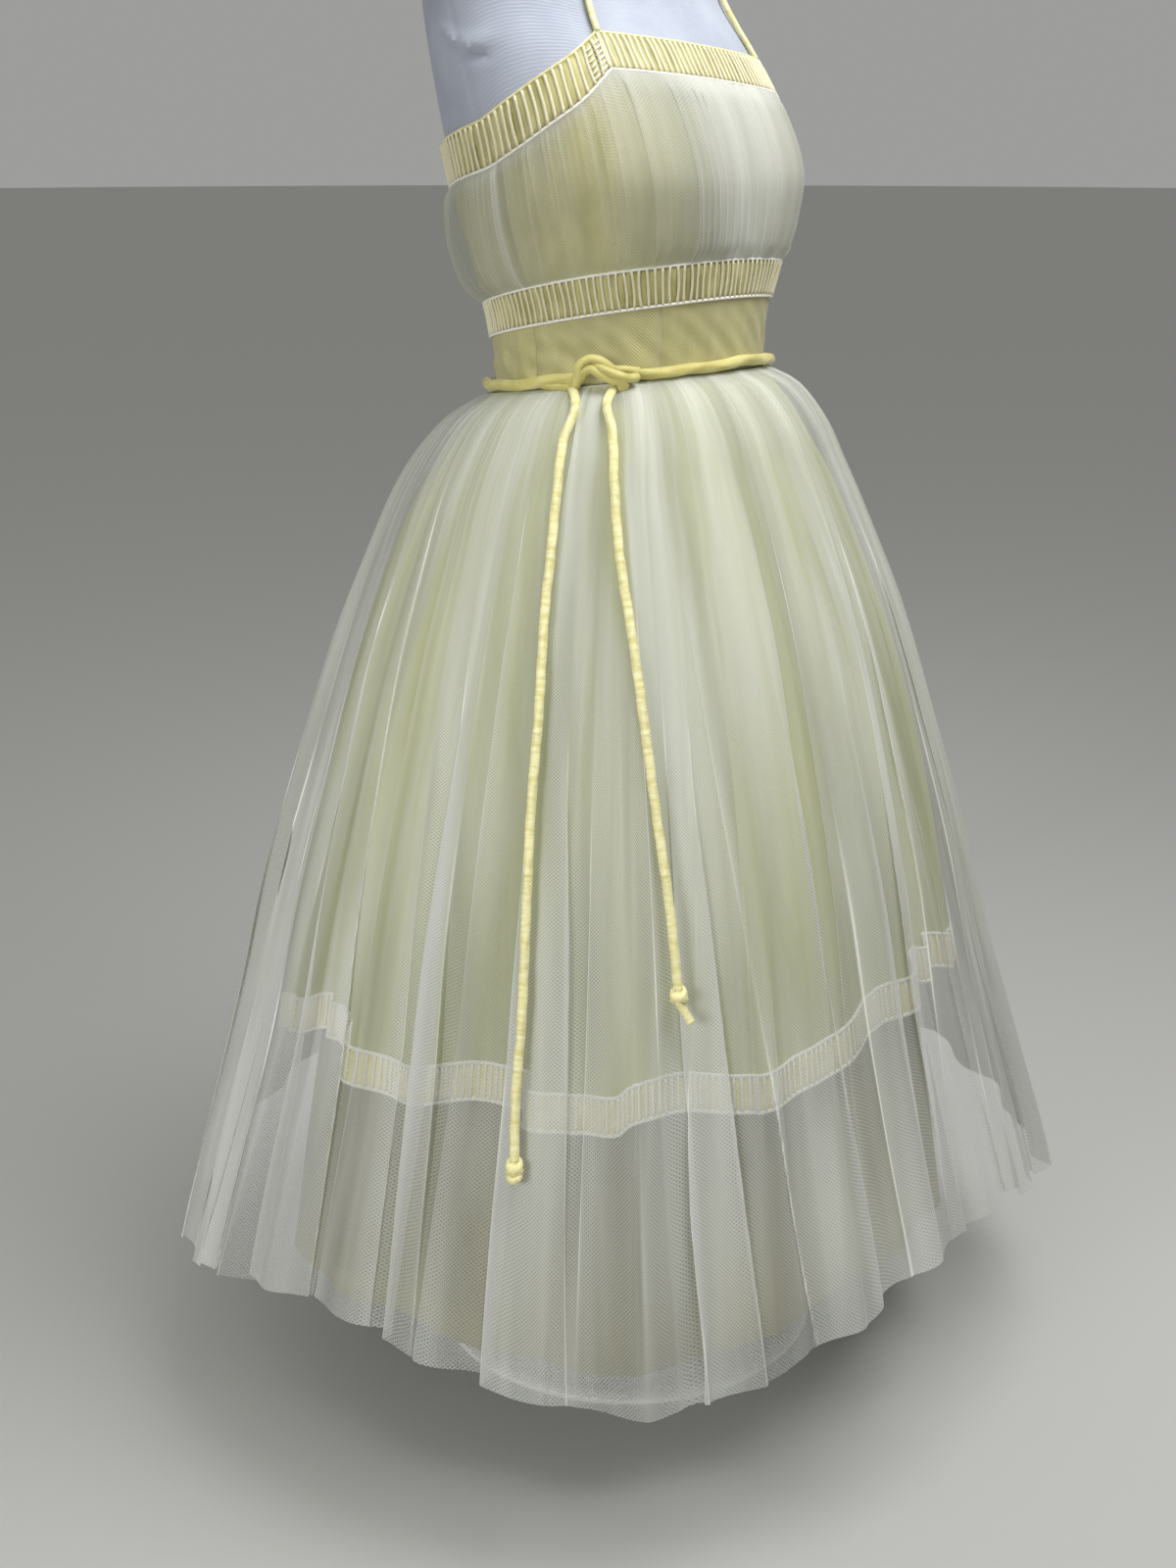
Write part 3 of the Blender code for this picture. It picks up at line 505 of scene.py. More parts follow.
# %% [markdown]
# The bars and edges of the bands are cotton cord, twisted from a few threads. At this size the
# twist shows only as a fine grain, so noise does for it, and it also tints the cord a little.

# %% Thread and cord
def thread_finish(name, shade, light):
    """Cotton thread and cord of two close colours, with a fine grain."""
    made, tree, shader = finish_named(name, Roughness=0.8, Sheen_Weight=0.2)
    place = add(tree, "TexCoord").outputs["Object"]
    grain = noise(tree, place, 900.0, 2.0)
    coloured(tree, shader, grain, shade, light)
    bumped(tree, shader, grain, 0.0003, 0.6)
    return made


white_cord = thread_finish("white cotton cord", "EAE8DD", "FCFBF6")
cream_cord = thread_finish("cream cotton cord of the bars", "D2CCA6", "EFEACF")

# %% [markdown]
# The form's cover is a blue-grey jersey. Its knitted ribs are drawn by a wave texture on Object
# coordinates, which needs no map and runs on over the seams.

# %% Jersey
def jersey_finish():
    """Fine knitted jersey: ribs 1.2 mm apart, drawn 2 mm, with a faint mottle from wear."""
    made, tree, shader = finish_named("blue-grey jersey of the form", Roughness=0.85, Sheen_Weight=0.2)
    place = add(tree, "TexCoord").outputs["Object"]
    ribs = add(tree, "TexWave", {"Vector": place, "Scale": 160.0, "Distortion": 1.5, "Detail": 1.0},
               wave_type="BANDS", bands_direction="DIAGONAL").outputs[1]
    mottle = noise(tree, place, 18.0, 4.0)
    coloured(tree, shader, between(tree, mottle, 0.3, 0.7), "A2A8B7", "B6BCC9")
    bumped(tree, shader, ribs, 0.0003, 0.35)
    return made


jersey = jersey_finish()

# %% [markdown]
# The underskirt is a cream lawn, seen through both nets. Its colour is set deeper than the lawn's own,
# as painted shade. It keeps soft creases from hanging, painted darker along them as painted shade.

# %% Cream lawn
def cream_finish():
    """Cream lawn, plainly woven: threads 0.4 mm apart, drawn 1.2 mm, with soft creases down it. Its
    colours are painted shade: deeper than the lawn, and darkest in the creases.
    """
    made, tree, shader = finish_named("cream lawn of the underskirt", Roughness=0.75, Sheen_Weight=0.1)
    source, across, down = cut_map(tree)
    weave = noise(tree, source, 800.0, 1.0)
    soft = streaks(tree, across, down, 14.0, 0.4, 11.0)
    # Painted shade: both colours are deeper than the cream lawn, and the darker one lies along the soft
    # creases.
    coloured(tree, shader, soft, "7E7952", "9F996E")
    bumped(tree, shader, maths(tree, "MULTIPLY_ADD", weave, 0.2, soft), 0.0010, 0.5)
    return made


cream = cream_finish()

# %% [markdown]
# The stand is steel with a white powder coat, which sets to a fine orange-peel. Handling has dulled
# it in patches.

# %% Paint
def paint_finish():
    """White powder coat on steel: a fine orange-peel and slightly dulled patches."""
    made, tree, shader = finish_named("white powder-coated steel", Specular_IOR_Level=0.5)
    place = add(tree, "TexCoord").outputs["Object"]
    peel = noise(tree, place, 700.0, 2.0)
    worn = noise(tree, place, 9.0, 5.0)
    coloured(tree, shader, worn, "D6D6D2", "E4E4E1")
    tree.links.new(between(tree, worn, 0.3, 0.7, 0.34, 0.5), shader.inputs["Roughness"])
    bumped(tree, shader, peel, 0.0002, 0.3)
    return made


paint = paint_finish()
print("materials so far", len(bpy.data.materials))

# %% [markdown]
# Two helpers make nearly every piece. A sheet is a flat grid of the cut, whose points are then
# moved to where the worn cloth lies. A cord is a narrow grid rolled into a tube round its path and
# closed at its ends. Both keep the flat cut as a map in metres.

# %% Meshes and pieces
def add_piece(name, mesh, material, nodes):
    """The mesh as a smooth piece of the dress that stands for those solids."""
    made = add_object(name, mesh)
    mesh.materials.append(material)
    mesh.shade_smooth()
    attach(made, "root")
    if nodes:
        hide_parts(*nodes)
    return made


def finished(bm, name):
    """The bmesh written into a new mesh, and freed."""
    mesh = bpy.data.meshes.new(name)
    bm.to_mesh(mesh)
    bm.free()
    return mesh


def put(vertices, points):
    """Moves each vertex to its point."""
    for vertex, point in zip(vertices, points):
        vertex.co = point


def grid_into(bm, across, down):
    """A grid in the bmesh. Returns its vertices and their two shares, across and down."""
    made = bmesh.ops.create_grid(
        bm, x_segments=across, y_segments=down, size=0.5, calc_uvs=True)["verts"]
    return made, np.array([v.co.x + 0.5 for v in made]), np.array([0.5 - v.co.y for v in made])


def cut_size(mesh, width, length):
    """Names the mesh's map and scales it from shares to metres, measured down from the top edge."""
    layer = mesh.uv_layers[0]
    layer.name = "cut"
    shares = np.empty(len(mesh.loops) * 2)
    layer.data.foreach_get("uv", shares)
    shares = shares.reshape(-1, 2) * (1, -1) + (0, 1)
    layer.data.foreach_set("uv", (shares * (width, length)).ravel())


# %% [markdown]
# A sheet's points come from a function of two shares, so one function describes a whole panel. Its
# flat size is measured on the placed grid, along its longest row and its longest column, and its map
# is scaled to it.

# %% A sheet
def sheet(name, across, down, place, material, nodes, wall=None, values=None):
    """A sheet of cloth, put in place by place(share across, share down), with its map scaled to its
    flat size. Values gives each point its numbers for the material, by name, from the same two shares."""
    bm = bmesh.new()
    bm.loops.layers.uv.new("cut")
    made, u, v = grid_into(bm, across, down)
    points = place(u, v)
    put(made, points)
    area = sum(face.calc_area() for face in bm.faces)
    mesh = finished(bm, name)
    for key, numbers in (values(u, v) if values else {}).items():
        mesh.attributes.new(key, "FLOAT", "POINT").data.foreach_set("value", numbers)
    order = np.lexsort((u, np.round(v * down)))
    net = points[order].reshape(down + 1, across + 1, 3)
    width = np.linalg.norm(np.diff(net, axis=1), axis=-1).sum(1).max()
    length = np.linalg.norm(np.diff(net, axis=0), axis=-1).sum(0).max()
    cut_size(mesh, width, length)
    piece = add_piece(name, mesh, material, nodes)
    if wall:
        solid = piece.modifiers.new("wall", "SOLIDIFY")
        solid.thickness = wall
        solid.offset = -1.0
    print(f"{name}: cut {width:.2f} by {length:.2f} m, {area:.3f} m2, {len(mesh.polygons)} faces")
    return piece


# %% [markdown]
# A cord could be a curve with a bevel, but a grid rolled round its path can pucker: satin on the
# bias, sewn into a tube and turned, draws up into small ridges on one side and creases softly down
# its length.

# %% A cord
PUCKER_PITCH = 0.0036


def tube_into(bm, path, radius, sides, pucker=0.0, crease=0.0, phase=0.0):
    """Rolls a grid into a closed tube round the path. Pucker and crease are shares of the radius: small
    ridges across the tube, and soft ones along it."""
    path = np.asarray(path, float)
    count = len(path)
    tangent = np.gradient(path, axis=0)
    tangent /= np.linalg.norm(tangent, axis=1)[:, None]
    side = np.cross(tangent[0], (0.0, 0.0, 1.0) if abs(tangent[0][2]) < 0.9 else (1.0, 0.0, 0.0))
    frames = []
    for step in tangent:
        side = side - step * (side @ step)
        side /= np.linalg.norm(side)
        frames.append((side, np.cross(step, side)))
    made, u, v = grid_into(bm, sides, count - 1)
    row = np.round(v * (count - 1)).astype(int)
    turn = u * 2 * math.pi
    first = np.array([f[0] for f in frames])[row]
    second = np.array([f[1] for f in frames])[row]
    s = 2 * math.pi * along(path)[row] / PUCKER_PITCH
    uneven = 0.6 + 0.4 * np.sin(0.137 * s + 3 * phase)
    one_side = 0.5 + 0.5 * np.cos(turn + 0.8 * np.sin(0.031 * s) + 2 * phase)
    ridge = np.sin(s + 1.5 * np.sin(turn + phase) + 2.2 * np.sin(0.21 * s)) * uneven * one_side
    long_crease = np.cos(3 * turn + 2.0 * np.sin(0.065 * s + phase) + phase)
    wide = radius * (1.0 + pucker * ridge + crease * long_crease)
    outward = first * np.cos(turn)[:, None] + second * np.sin(turn)[:, None]
    put(made, path[row] + outward * wide[:, None])


def close_tubes(bm):
    """Welds each tube's long seam, fills its ends and turns every face outwards."""
    bmesh.ops.remove_doubles(bm, verts=bm.verts, dist=1e-6)
    bmesh.ops.holes_fill(bm, edges=[e for e in bm.edges if e.is_boundary], sides=0)
    bmesh.ops.recalc_face_normals(bm, faces=bm.faces)


def cords(name, paths, radius, sides, material, nodes=(), pucker=0.0, crease=0.0):
    """One piece made of a round cord along each path."""
    bm = bmesh.new()
    bm.loops.layers.uv.new("cut")
    for i, path in enumerate(paths):
        tube_into(bm, path, radius, sides, pucker, crease, float(i))
    close_tubes(bm)
    mesh = finished(bm, name)
    longest = max(along(path)[-1] for path in paths)
    cut_size(mesh, 2 * math.pi * radius, longest)
    print(f"{name}: {len(paths)} of them, the longest {longest:.3f} m, {len(mesh.polygons)} faces")
    return add_piece(name, mesh, material, nodes)


def route(points, count):
    """Count points on a smooth curve through the points, evenly spaced along it."""
    table = [(i, *point) for i, point in enumerate(points)]
    dense = np.stack(smooth_at(table, np.linspace(0, len(points) - 1, 40 * len(points))), -1)
    distance = along(dense)
    wanted = np.linspace(0, distance[-1], count)
    return np.stack([np.interp(wanted, distance, dense[:, i]) for i in range(3)], -1)


# %% [markdown]
# The belt's two ends hang free down the front of the skirt: rouleaux, satin tubes turned right side
# out. They lie where their solids lie, and each ends in a knot. They come first, because a free
# cord has a real length that has to be right.

# %% The hanging ends
TIE_RADIUS = 0.0034
BELT_RADIUS = 0.0042
MIDRIFF_OUT = 0.0028
KNOT_ANGLE = math.radians(-57.0)
LONG_END = (
    (-62.0, 0.020), (-63.5, 0.040), (-63.0, 0.070), (-63.0, 0.110), (-63.3, 0.160), (-63.0, 0.220),
    (-63.2, 0.290), (-63.0, 0.360), (-62.8, 0.430), (-63.0, 0.490), (-62.6, 0.534),
)
SHORT_END = (
    (-52.5, 0.020), (-50.8, 0.040), (-49.8, 0.075), (-49.0, 0.120), (-47.0, 0.178), (-45.3, 0.240),
    (-43.8, 0.305), (-42.6, 0.360), (-41.8, 0.420),
)
belt_out = MIDRIFF_OUT + 4 * GAP + BELT_RADIUS
knot_place = form_place(KNOT_ANGLE, edge_height(WAIST_LINE, KNOT_ANGLE), belt_out + 0.0055)
knot_along = np.array([math.cos(KNOT_ANGLE), math.sin(KNOT_ANGLE), 0.0])
knot_outward = np.array([math.sin(KNOT_ANGLE), -math.cos(KNOT_ANGLE), 0.0])


def knot_point(right, outward, up):
    """A point by its millimetres to the right, outwards and up from the middle of the knot."""
    away = knot_along * right + knot_outward * outward + np.array([0, 0, 1.0]) * up
    return knot_place + away / 1000


def end_route(rows, start):
    """The points of a hanging end on the skirt, from a point in the knot."""
    points = [start]
    for degrees, drop in rows:
        angle = math.radians(degrees)
        fold = smooth_at(TULLE, drop)[3] * (0.99 - fold_height(tulle_turns, angle))
        points.append(skirt_place(TULLE, tulle_turns, angle, drop, fold + TIE_RADIUS + 5 * GAP))
    return np.array(points)


# Each turn of the knot: its tilt, its distance down from the cord's tip and its radius
KNOT_TURNS = ((0.8, 0.0030, 0.0034), (-0.9, 0.0070, 0.0036), (0.5, 0.0110, 0.0030))
KNOT_CORD = 0.0031
STUB_LEAN = -0.45


def end_knot(path, with_stub):
    """The paths of the knot on a hanging end: turns of the cord round its tip, and the stub below."""
    tip, step = path[-1], (path[-1] - path[-2]) / np.linalg.norm(path[-1] - path[-2])
    cross = np.cross(step, knot_outward)
    cross /= np.linalg.norm(cross)
    around = np.linspace(0, 2 * math.pi, 25)
    wraps = []
    for tilt, down, size in KNOT_TURNS[: 2 if with_stub else 3]:
        wraps.append([tip + step * (down + 0.0030 * tilt * math.sin(a)) + cross * size * math.cos(a)
                      + knot_outward * size * math.sin(a) for a in around])
    core = [tip + step * d for d in np.linspace(-0.001, 0.011, 9)]
    stub = [tip + step * d + cross * STUB_LEAN * (d - 0.010) for d in np.linspace(0.010, 0.025, 12)]
    return wraps + ([core, stub] if with_stub else [core])


# Each end: its route down the skirt, where it leaves the knot, and its steps
ENDS = (
    ("long", LONG_END, (-20.4, -3.5, -8.6), 640),
    ("short", SHORT_END, (9.8, -2.5, -7.3), 480),
)
for which, rows, start, steps in ENDS:
    path = route(end_route(rows, knot_point(*start)), steps)
    end_cord = cords(f"tie_end_{which}", [path], TIE_RADIUS, 14, tie_satin,
                     [f"tie_end_{which}"], pucker=0.07, crease=0.08)
    knot = cords(f"tie_knot_{which}", end_knot(path, which == "short"), KNOT_CORD, 12, tie_satin,
                 [f"tie_knot_{which}"], pucker=0.03, crease=0.06)

# %% [markdown]
# The belt is the same rouleau, a little thicker, once round the waist. At the knot the right end
# rises in an arch over the left one and falls as the long end. The left one turns in a small loop
# inside the arch, crosses to the right with a second strand above it, and falls as the short end.

# %% The belt and its knot
around = np.linspace(KNOT_ANGLE + math.radians(9.0), KNOT_ANGLE + 2 * math.pi - math.radians(6.0), 700)
sway = 0.0011 * np.sin(5 * around + 0.6) + 0.0006 * np.sin(13 * around)
belt_path = form_place(around, edge_height(WAIST_LINE, around) + sway, belt_out)
cords("belt_cord", [belt_path], BELT_RADIUS, 16, belt_satin, ["belt_cord"],
      pucker=0.010, crease=0.07)

# The knot's strands, in millimetres to the right, outwards and up from its middle
ARCH = (
    (27.1, -12, 3.6), (19.0, -8, 5.1), (13.6, -4.5, 5.5), (9.6, -1, 6.2), (5.6, 1.5, 9.3),
    (0.7, 2.5, 12.5), (-5.7, 3, 13.9), (-11.4, 3, 12.0), (-15.4, 3, 7.8), (-16.2, 2.5, 2.8),
    (-16.8, 0, -2.5), (-19.2, -3, -7.8),
)
LOOP = (
    (-27.4, -6, -3.4), (-19.2, -3, -2.9), (-14.5, 1, -0.2), (-10.7, 3, 5.0), (-6.3, 4, 7.0),
    (-2.0, 4.5, 4.6), (3.1, 5, 1.9), (9.5, 4.5, -0.2), (15.8, 3, -2.0), (17.6, 0, -5.5),
    (13.1, -2.5, -8.0),
)
OVER = (
    (-4.6, 0, 8.9), (0.1, 4, 7.7), (7.5, 5.5, 4.9), (14.5, 4.5, 2.4), (21.2, 0, 0.1), (26.2, -7, 0.0),
)
BELOW = (
    (-45.1, -10, -5.5), (-38.3, -7.5, -6.9), (-31.0, -6, -6.9), (-23.7, -4.5, -7.3), (-19.3, -4, -9.3),
)
strands = [route([knot_point(*p) for p in strand], 110) for strand in (ARCH, LOOP, OVER, BELOW)]
cords("belt_knot", strands, TIE_RADIUS, 14, belt_satin, ["belt_knot"],
      pucker=0.008, crease=0.06)

# %% [markdown]
# The dress form is limbless: a body of foam under a tight knitted cover, on a steel pole with a
# round base. The pole and the base are turned shapes, spun from a profile.

# %% The stand
SHARP = math.radians(35)


def spun(name, profile, material, nodes):
    """A turned piece: the profile, from the axis out and back, spun all the way round."""
    bm = bmesh.new()
    corners = [bm.verts.new((x, 0.0, z)) for x, z in profile]
    for low, high in zip(corners, corners[1:]):
        bm.edges.new((low, high))
    bmesh.ops.spin(bm, geom=bm.verts[:] + bm.edges[:], cent=(0, 0, 0), axis=(0, 0, 1), dvec=(0, 0, 0),
                   angle=2 * math.pi, steps=96, use_merge=True)
    bmesh.ops.remove_doubles(bm, verts=bm.verts, dist=1e-6)
    bmesh.ops.recalc_face_normals(bm, faces=bm.faces)
    mesh = finished(bm, name)
    piece = add_piece(name, mesh, material, nodes)
    mesh.set_sharp_from_angle(angle=SHARP)
    edge = piece.modifiers.new("edges", "BEVEL")
    edge.width, edge.segments = 0.0008, 2
    edge.limit_method, edge.angle_limit = "ANGLE", SHARP
    print(name, "spun from", len(profile), "points")


spun("stand_base", [
    (0.0, 0.036), (0.019, 0.036), (0.022, 0.033), (0.022, 0.018), (0.0235, 0.0145), (0.028, 0.012),
    (0.158, 0.008), (0.166, 0.007), (0.1695, 0.0045), (0.1695, 0.001), (0.169, 0.0), (0.0, 0.0),
], paint, ["stand_base"])
spun("stand_pole", [(0.0, 0.5837), (0.0125, 0.5837), (0.0125, 0.0363), (0.0, 0.0363)],
     paint, ["stand_pole"])

# %% The covered form
JERSEY_CREASE = ((-107.0, 0.2460), (-98.0, 0.2370), (-88.0, 0.2310), (-78.0, 0.2330), (-68.0, 0.2400))
SEAM_ANGLES = (0.0, 42.0, 92.0, 150.0, 180.0, -150.0, -92.0, -42.0)
SEAM_DEPTH, SEAM_WIDTH = 0.0007, 0.0022
SEAM_REACH = 0.14
ROLL_HEIGHT, ROLL_UP, ROLL_WIDTH = 0.0028, 0.007, 0.006
CREASE_DEPTH, CREASE_WIDTH = 0.0034, 0.003
FORM_COLUMNS, FORM_LINES = 200, 150


def form_skin(u, v):
    """The jersey's points: seams drawn in a little, and one slack crease under the arm."""
    angle = -math.pi + u * 2 * math.pi
    height = FORM[-1][0] - (FORM[-1][0] - FORM[0][0]) * v
    out = np.zeros_like(angle)
    for degrees in SEAM_ANGLES:
        off = np.abs(turned(angle - math.radians(degrees))) * SEAM_REACH
        out -= SEAM_DEPTH * np.exp(-((off / SEAM_WIDTH) ** 2))
    level = smooth_at(JERSEY_CREASE, np.degrees(angle))[0]
    reach = ramp(np.degrees(angle), -108, -96) * (1 - ramp(np.degrees(angle), -84, -70))
    off = height - level
    roll = ROLL_HEIGHT * np.exp(-(((off - ROLL_UP) / ROLL_WIDTH) ** 2))
    crease = CREASE_DEPTH * np.exp(-((off / CREASE_WIDTH) ** 2))
    return form_place(angle, height, out + reach * (roll - crease))


bm = bmesh.new()
made, u, v = grid_into(bm, FORM_COLUMNS, FORM_LINES)
put(made, form_skin(u, v))
close_tubes(bm)
skin = BVHTree.FromBMesh(bm)
form_mesh = finished(bm, "form_torso")
add_piece("form_torso", form_mesh, jersey, ["form_torso"])
form_mesh.set_sharp_from_angle(angle=math.radians(50))
print("form", len(form_mesh.polygons), "faces")

# %% [markdown]
# Gathered cloth is drawn in along a seam, so small ridges start at the seam and die out, and
# hanging cloth falls in folds. Each has its own angle, width, bump, tuck, drift and start. Where a
# fold is tucked, the cloth turns back under itself and lies three layers thick, with the two turns
# as thin bright edges.

# %% Ridges and folds
GATHER_EDGE = 0.6


def folds_between(seed, low, high, count, widths, bumps, tucks=(0.0, 0.0), rises=(0.0, 0.0), drift=1.0):
    """A fold table between two angles in degrees: angle, width, bump, tuck, rise, drift, start."""
    draw = np.random.default_rng(seed)
    step = (high - low) / count
    angle = low + step * (np.arange(count) + 0.5) + draw.uniform(-0.3, 0.3, count) * step
    return np.stack([
        np.radians(angle), np.radians(draw.uniform(*widths, count)), draw.uniform(*bumps, count),
        draw.uniform(*tucks, count), draw.uniform(*rises, count) * draw.choice((-1.0, 1.0), count),
        np.radians(draw.uniform(-drift, drift, count)), draw.uniform(0, 1, count),
    ], -1)


def folded(table, angle, share, growth):
    """How far folds move each point out and round the body, how sharply the cloth turns back there,
    and how much fuller it lies beside each fold, on the side that laps over."""
    out, shift, slope, lapped = (np.zeros_like(angle) for _ in range(4))
    for centre, width, bump, tuck, rise, drift, start in table:
        x = turned(angle - centre - drift * share) / width
        bell = np.exp(-x * x)
        grown = growth(share, start)
        out += grown * (bump * bell + rise * x * np.exp(-x * x / 3))
        shift -= grown * tuck * width * x * bell
        slope -= grown * tuck * (1 - 2 * x * x) * bell
        lapped += grown * min(tuck, 1.5) * ramp(x * np.sign(rise), -0.3, 0.3) * np.exp(-np.abs(x) / 3.5)
    return out, shift, np.exp(-(((1 + slope) / 0.30) ** 2)), lapped


# %% [markdown]
# The bodice is a smooth satin lining with white net gathered over it. The net is fullest low down
# at the back and blouses over the band below it. It is drawn in most at the front. Its cover is set by
# angle, partly from its gathers and partly as painted light and shade: whitest at the middle of the
# front, thinnest on the front of the wearer's right.

# %% The bodice
LINING_OUT = 0.0034
NET_OUT = 0.0044
NET_PUFF = ((0.00, 0.0), (0.25, 0.0055), (0.50, 0.0090), (0.75, 0.0085), (0.90, 0.0055), (1.00, 0.0))
PUFF_FLAT = math.radians(38.0)
PUFF_SHARES = (0.35, 1.30)
BODICE_PANELS = (
    ("front", -SIDE_SEAM, SIDE_SEAM),
    ("back_left", SIDE_SEAM, HALF),
    ("back_right", HALF, 2 * HALF - SIDE_SEAM),
)
# Angle from the front in degrees: cover that the net has more there, partly painted light and shade,
# and how strongly it is gathered
NET_FULLNESS_AND_PAINTED_LIGHT = (
    (-180, 0.10, 0.8), (-130, 0.08, 0.8), (-100, 0.00, 0.8), (-80, -0.10, 0.7), (-60, -0.21, 0.6),
    (-47, -0.24, 0.8), (-30, 0.08, 1.1), (-12, 0.28, 1.2), (20, 0.32, 1.2), (60, 0.10, 0.8),
    (180, 0.10, 0.8),
)
SEAM_COVER = 0.15


def bodice_height(angle, share):
    """The height over the waist at a share of the way from the top band to the band under the bust."""
    top, bottom = neckline(angle)[1], edge_height(UNDERBUST_TOP, angle)
    return top + (bottom - top) * share


def evened_share(angle, height):
    """The share down from the top band with the band's corner evened out, for the puff of the net."""
    steps = np.linspace(-0.28, 0.28, 9)
    top = np.mean([neckline(angle + step)[1] for step in steps], axis=0)
    return np.clip((top - height) / (top - edge_height(UNDERBUST_TOP, angle)), 0.0, 1.0)


def from_both_seams(share, start):
    """Gathers held at both seams. Some reach further from the top and some from the bottom."""
    top = np.exp(-share / (0.12 + 0.6 * start))
    bottom = np.exp(-(1 - share) / (0.12 + 0.6 * (1 - start)))
    held = np.minimum(1.0, 12.0 * share * (1 - share) + 0.12)
    return np.minimum(1.0, top + bottom + 0.10) * held


for i, (panel, start, end) in enumerate(BODICE_PANELS):
    low, high = math.degrees(start) + 1, math.degrees(end) - 1
    fine, wide = int((high - low) / 2.2), int((high - low) / 9)
    gathers = np.concatenate([
        folds_between(20 + i, low, high, fine, (0.5, 1.0), (0.0004, 0.0018), (0.3, 1.3)),
        folds_between(25 + i, low, high, wide, (2.0, 4.5), (0.0010, 0.0026), (0.0, 0.5)),
    ])

    def lining_place(u, v, start=start, end=end):
        angle = start + (end - start) * u
        return form_place(angle, bodice_height(angle, v), LINING_OUT)

    def net_place(u, v, start=start, end=end, gathers=gathers):
        angle = start + (end - start) * u
        flat, full = PUFF_SHARES
        fullness = (flat + full) / 2 - (full - flat) / 2 * np.cos(angle - PUFF_FLAT)
        height = bodice_height(angle, v)
        puff = smooth_at(NET_PUFF, evened_share(angle, height))[0] * fullness * ramp(v, 0.0, 0.08)
        out, shift, _, _ = folded(gathers, angle, v, from_both_seams)
        drawn = smooth_at(NET_FULLNESS_AND_PAINTED_LIGHT, np.degrees(turned(angle)))[1]
        from_seam = ramp(np.minimum(u, 1 - u) * (end - start), 0.0, 0.03)
        return form_place(angle + shift * from_seam, height, NET_OUT + puff + out * drawn)

    def bodice_values(u, v, start=start, end=end, gathers=gathers):
        angle = start + (end - start) * u
        # The cover from the table is partly painted light and shade on the net.
        cover = smooth_at(NET_FULLNESS_AND_PAINTED_LIGHT, np.degrees(turned(angle)))[0]
        side_seam = 2 * np.exp(-((np.minimum(u, 1 - u) * (end - start) / 0.014) ** 2))
        near_seam = np.exp(-v / 0.10) + np.exp(-(1 - v) / 0.08) + side_seam
        turns_back = folded(gathers, angle, v, from_both_seams)[2]
        return {"full": cover + SEAM_COVER * near_seam, "edge": GATHER_EDGE * turns_back}

    columns = int(math.degrees(end - start) * 1.6)
    sheet(f"lining_{panel}", columns // 4, 24, lining_place, lining_satin, [f"lining_{panel}"])
    sheet(f"net_{panel}", columns * 2, 44, net_place, bodice_net, [f"net_{panel}"],
          values=bodice_values)

# %% [markdown]
# The bands are a ladder trim: narrow pale cords sewn across a satin tape, so that the satin puffs
# up between them, with a white cord along the edges. The bars are 7.2 mm apart on the sides of the
# top band, and 5.4 mm at its front and under the bust. At the right strap's corner two bars are
# held down by rows of short stitches.

# %% The barred bands
BAND_OUT = 0.0036
BAND_PUFF = 0.0012
FINE_PITCH, WIDE_PITCH = 0.0054, 0.0072
CLOTH_WALL = 0.0008
TOP_BAR_RADIUS = 0.0012
UNDERBUST_BAR_RADIUS = 0.0010
EDGE_CORD = 0.0011
PIPING = 0.0010
STITCH = 0.0006


def perimeter(start, end, height_of):
    """The length round the body between two angles along an edge."""
    angle = np.linspace(start, end, 200)
    return along(form_place(angle, height_of(angle), BAND_OUT))[-1]


def barred_band(name, start, end, edges, pitch, seed, nodes):
    """A band between two edges, as satin puffed up between its bars. Returns the bars' paths."""
    bars = round(perimeter(start, end, lambda a: edges(a)[1]) / pitch)
    draw = np.random.default_rng(seed)
    lean = draw.uniform(-0.2, 0.2, bars + 1)
    width = (end - start) / bars

    def place(u, v):
        angle = start + (end - start) * u
        top, bottom = edges(angle)
        crossing = np.abs(np.sin(u * bars * math.pi))
        puff = BAND_PUFF * crossing**0.5 * np.minimum(1.0, 7 * v * (1 - v))
        return form_place(angle, top + (bottom - top) * v, BAND_OUT - 0.0006 + puff)

    sheet(name, bars * 8, 8, place, band_satin, nodes,
          wall=CLOTH_WALL)
    paths = []
    for i in range(bars + 1):
        share = np.linspace(0.02, 0.98, 9)
        bend = lean[i] * width * np.sin(share * math.pi)
        angle = np.clip(start + width * i + bend, start, end)
        top, bottom = edges(angle)
        paths.append(form_place(angle, top + (bottom - top) * share, BAND_OUT + 0.0006))
    return paths


def edge_path(start, end, height_of, out, lift=0.0):
    """A cord's path along an edge."""
    angle = np.linspace(start, end, int(abs(end - start) * 60))
    return form_place(angle, height_of(angle) + lift, out)


def underbust(angle):
    """The heights of the two edges of the band under the bust."""
    return edge_height(UNDERBUST_TOP, angle), edge_height(UNDERBUST_BOTTOM, angle)


corner = STRAP_CORNER
TOP_BANDS = (
    ("front", -corner, corner, FINE_PITCH),
    ("left", corner, HALF, WIDE_PITCH),
    ("right", -HALF, -corner, WIDE_PITCH),
)
UNDERBUST_BANDS = (("front", -SIDE_SEAM, SIDE_SEAM), ("back", SIDE_SEAM, 2 * HALF - SIDE_SEAM))
top_bars, underbust_bars = [], []
for name, start, end, pitch in TOP_BANDS:
    top_bars += barred_band(f"top_band_{name}", start, end, neckline, pitch, 31, [f"top_band_{name}"])
for name, start, end in UNDERBUST_BANDS:
    underbust_bars += barred_band(f"underbust_band_{name}", start, end, underbust, FINE_PITCH, 33,
                                  [f"underbust_band_{name}"])
cords("top_band_bars", top_bars, TOP_BAR_RADIUS, 8, cream_cord)
cords("underbust_band_bars", underbust_bars, UNDERBUST_BAR_RADIUS, 8, cream_cord)
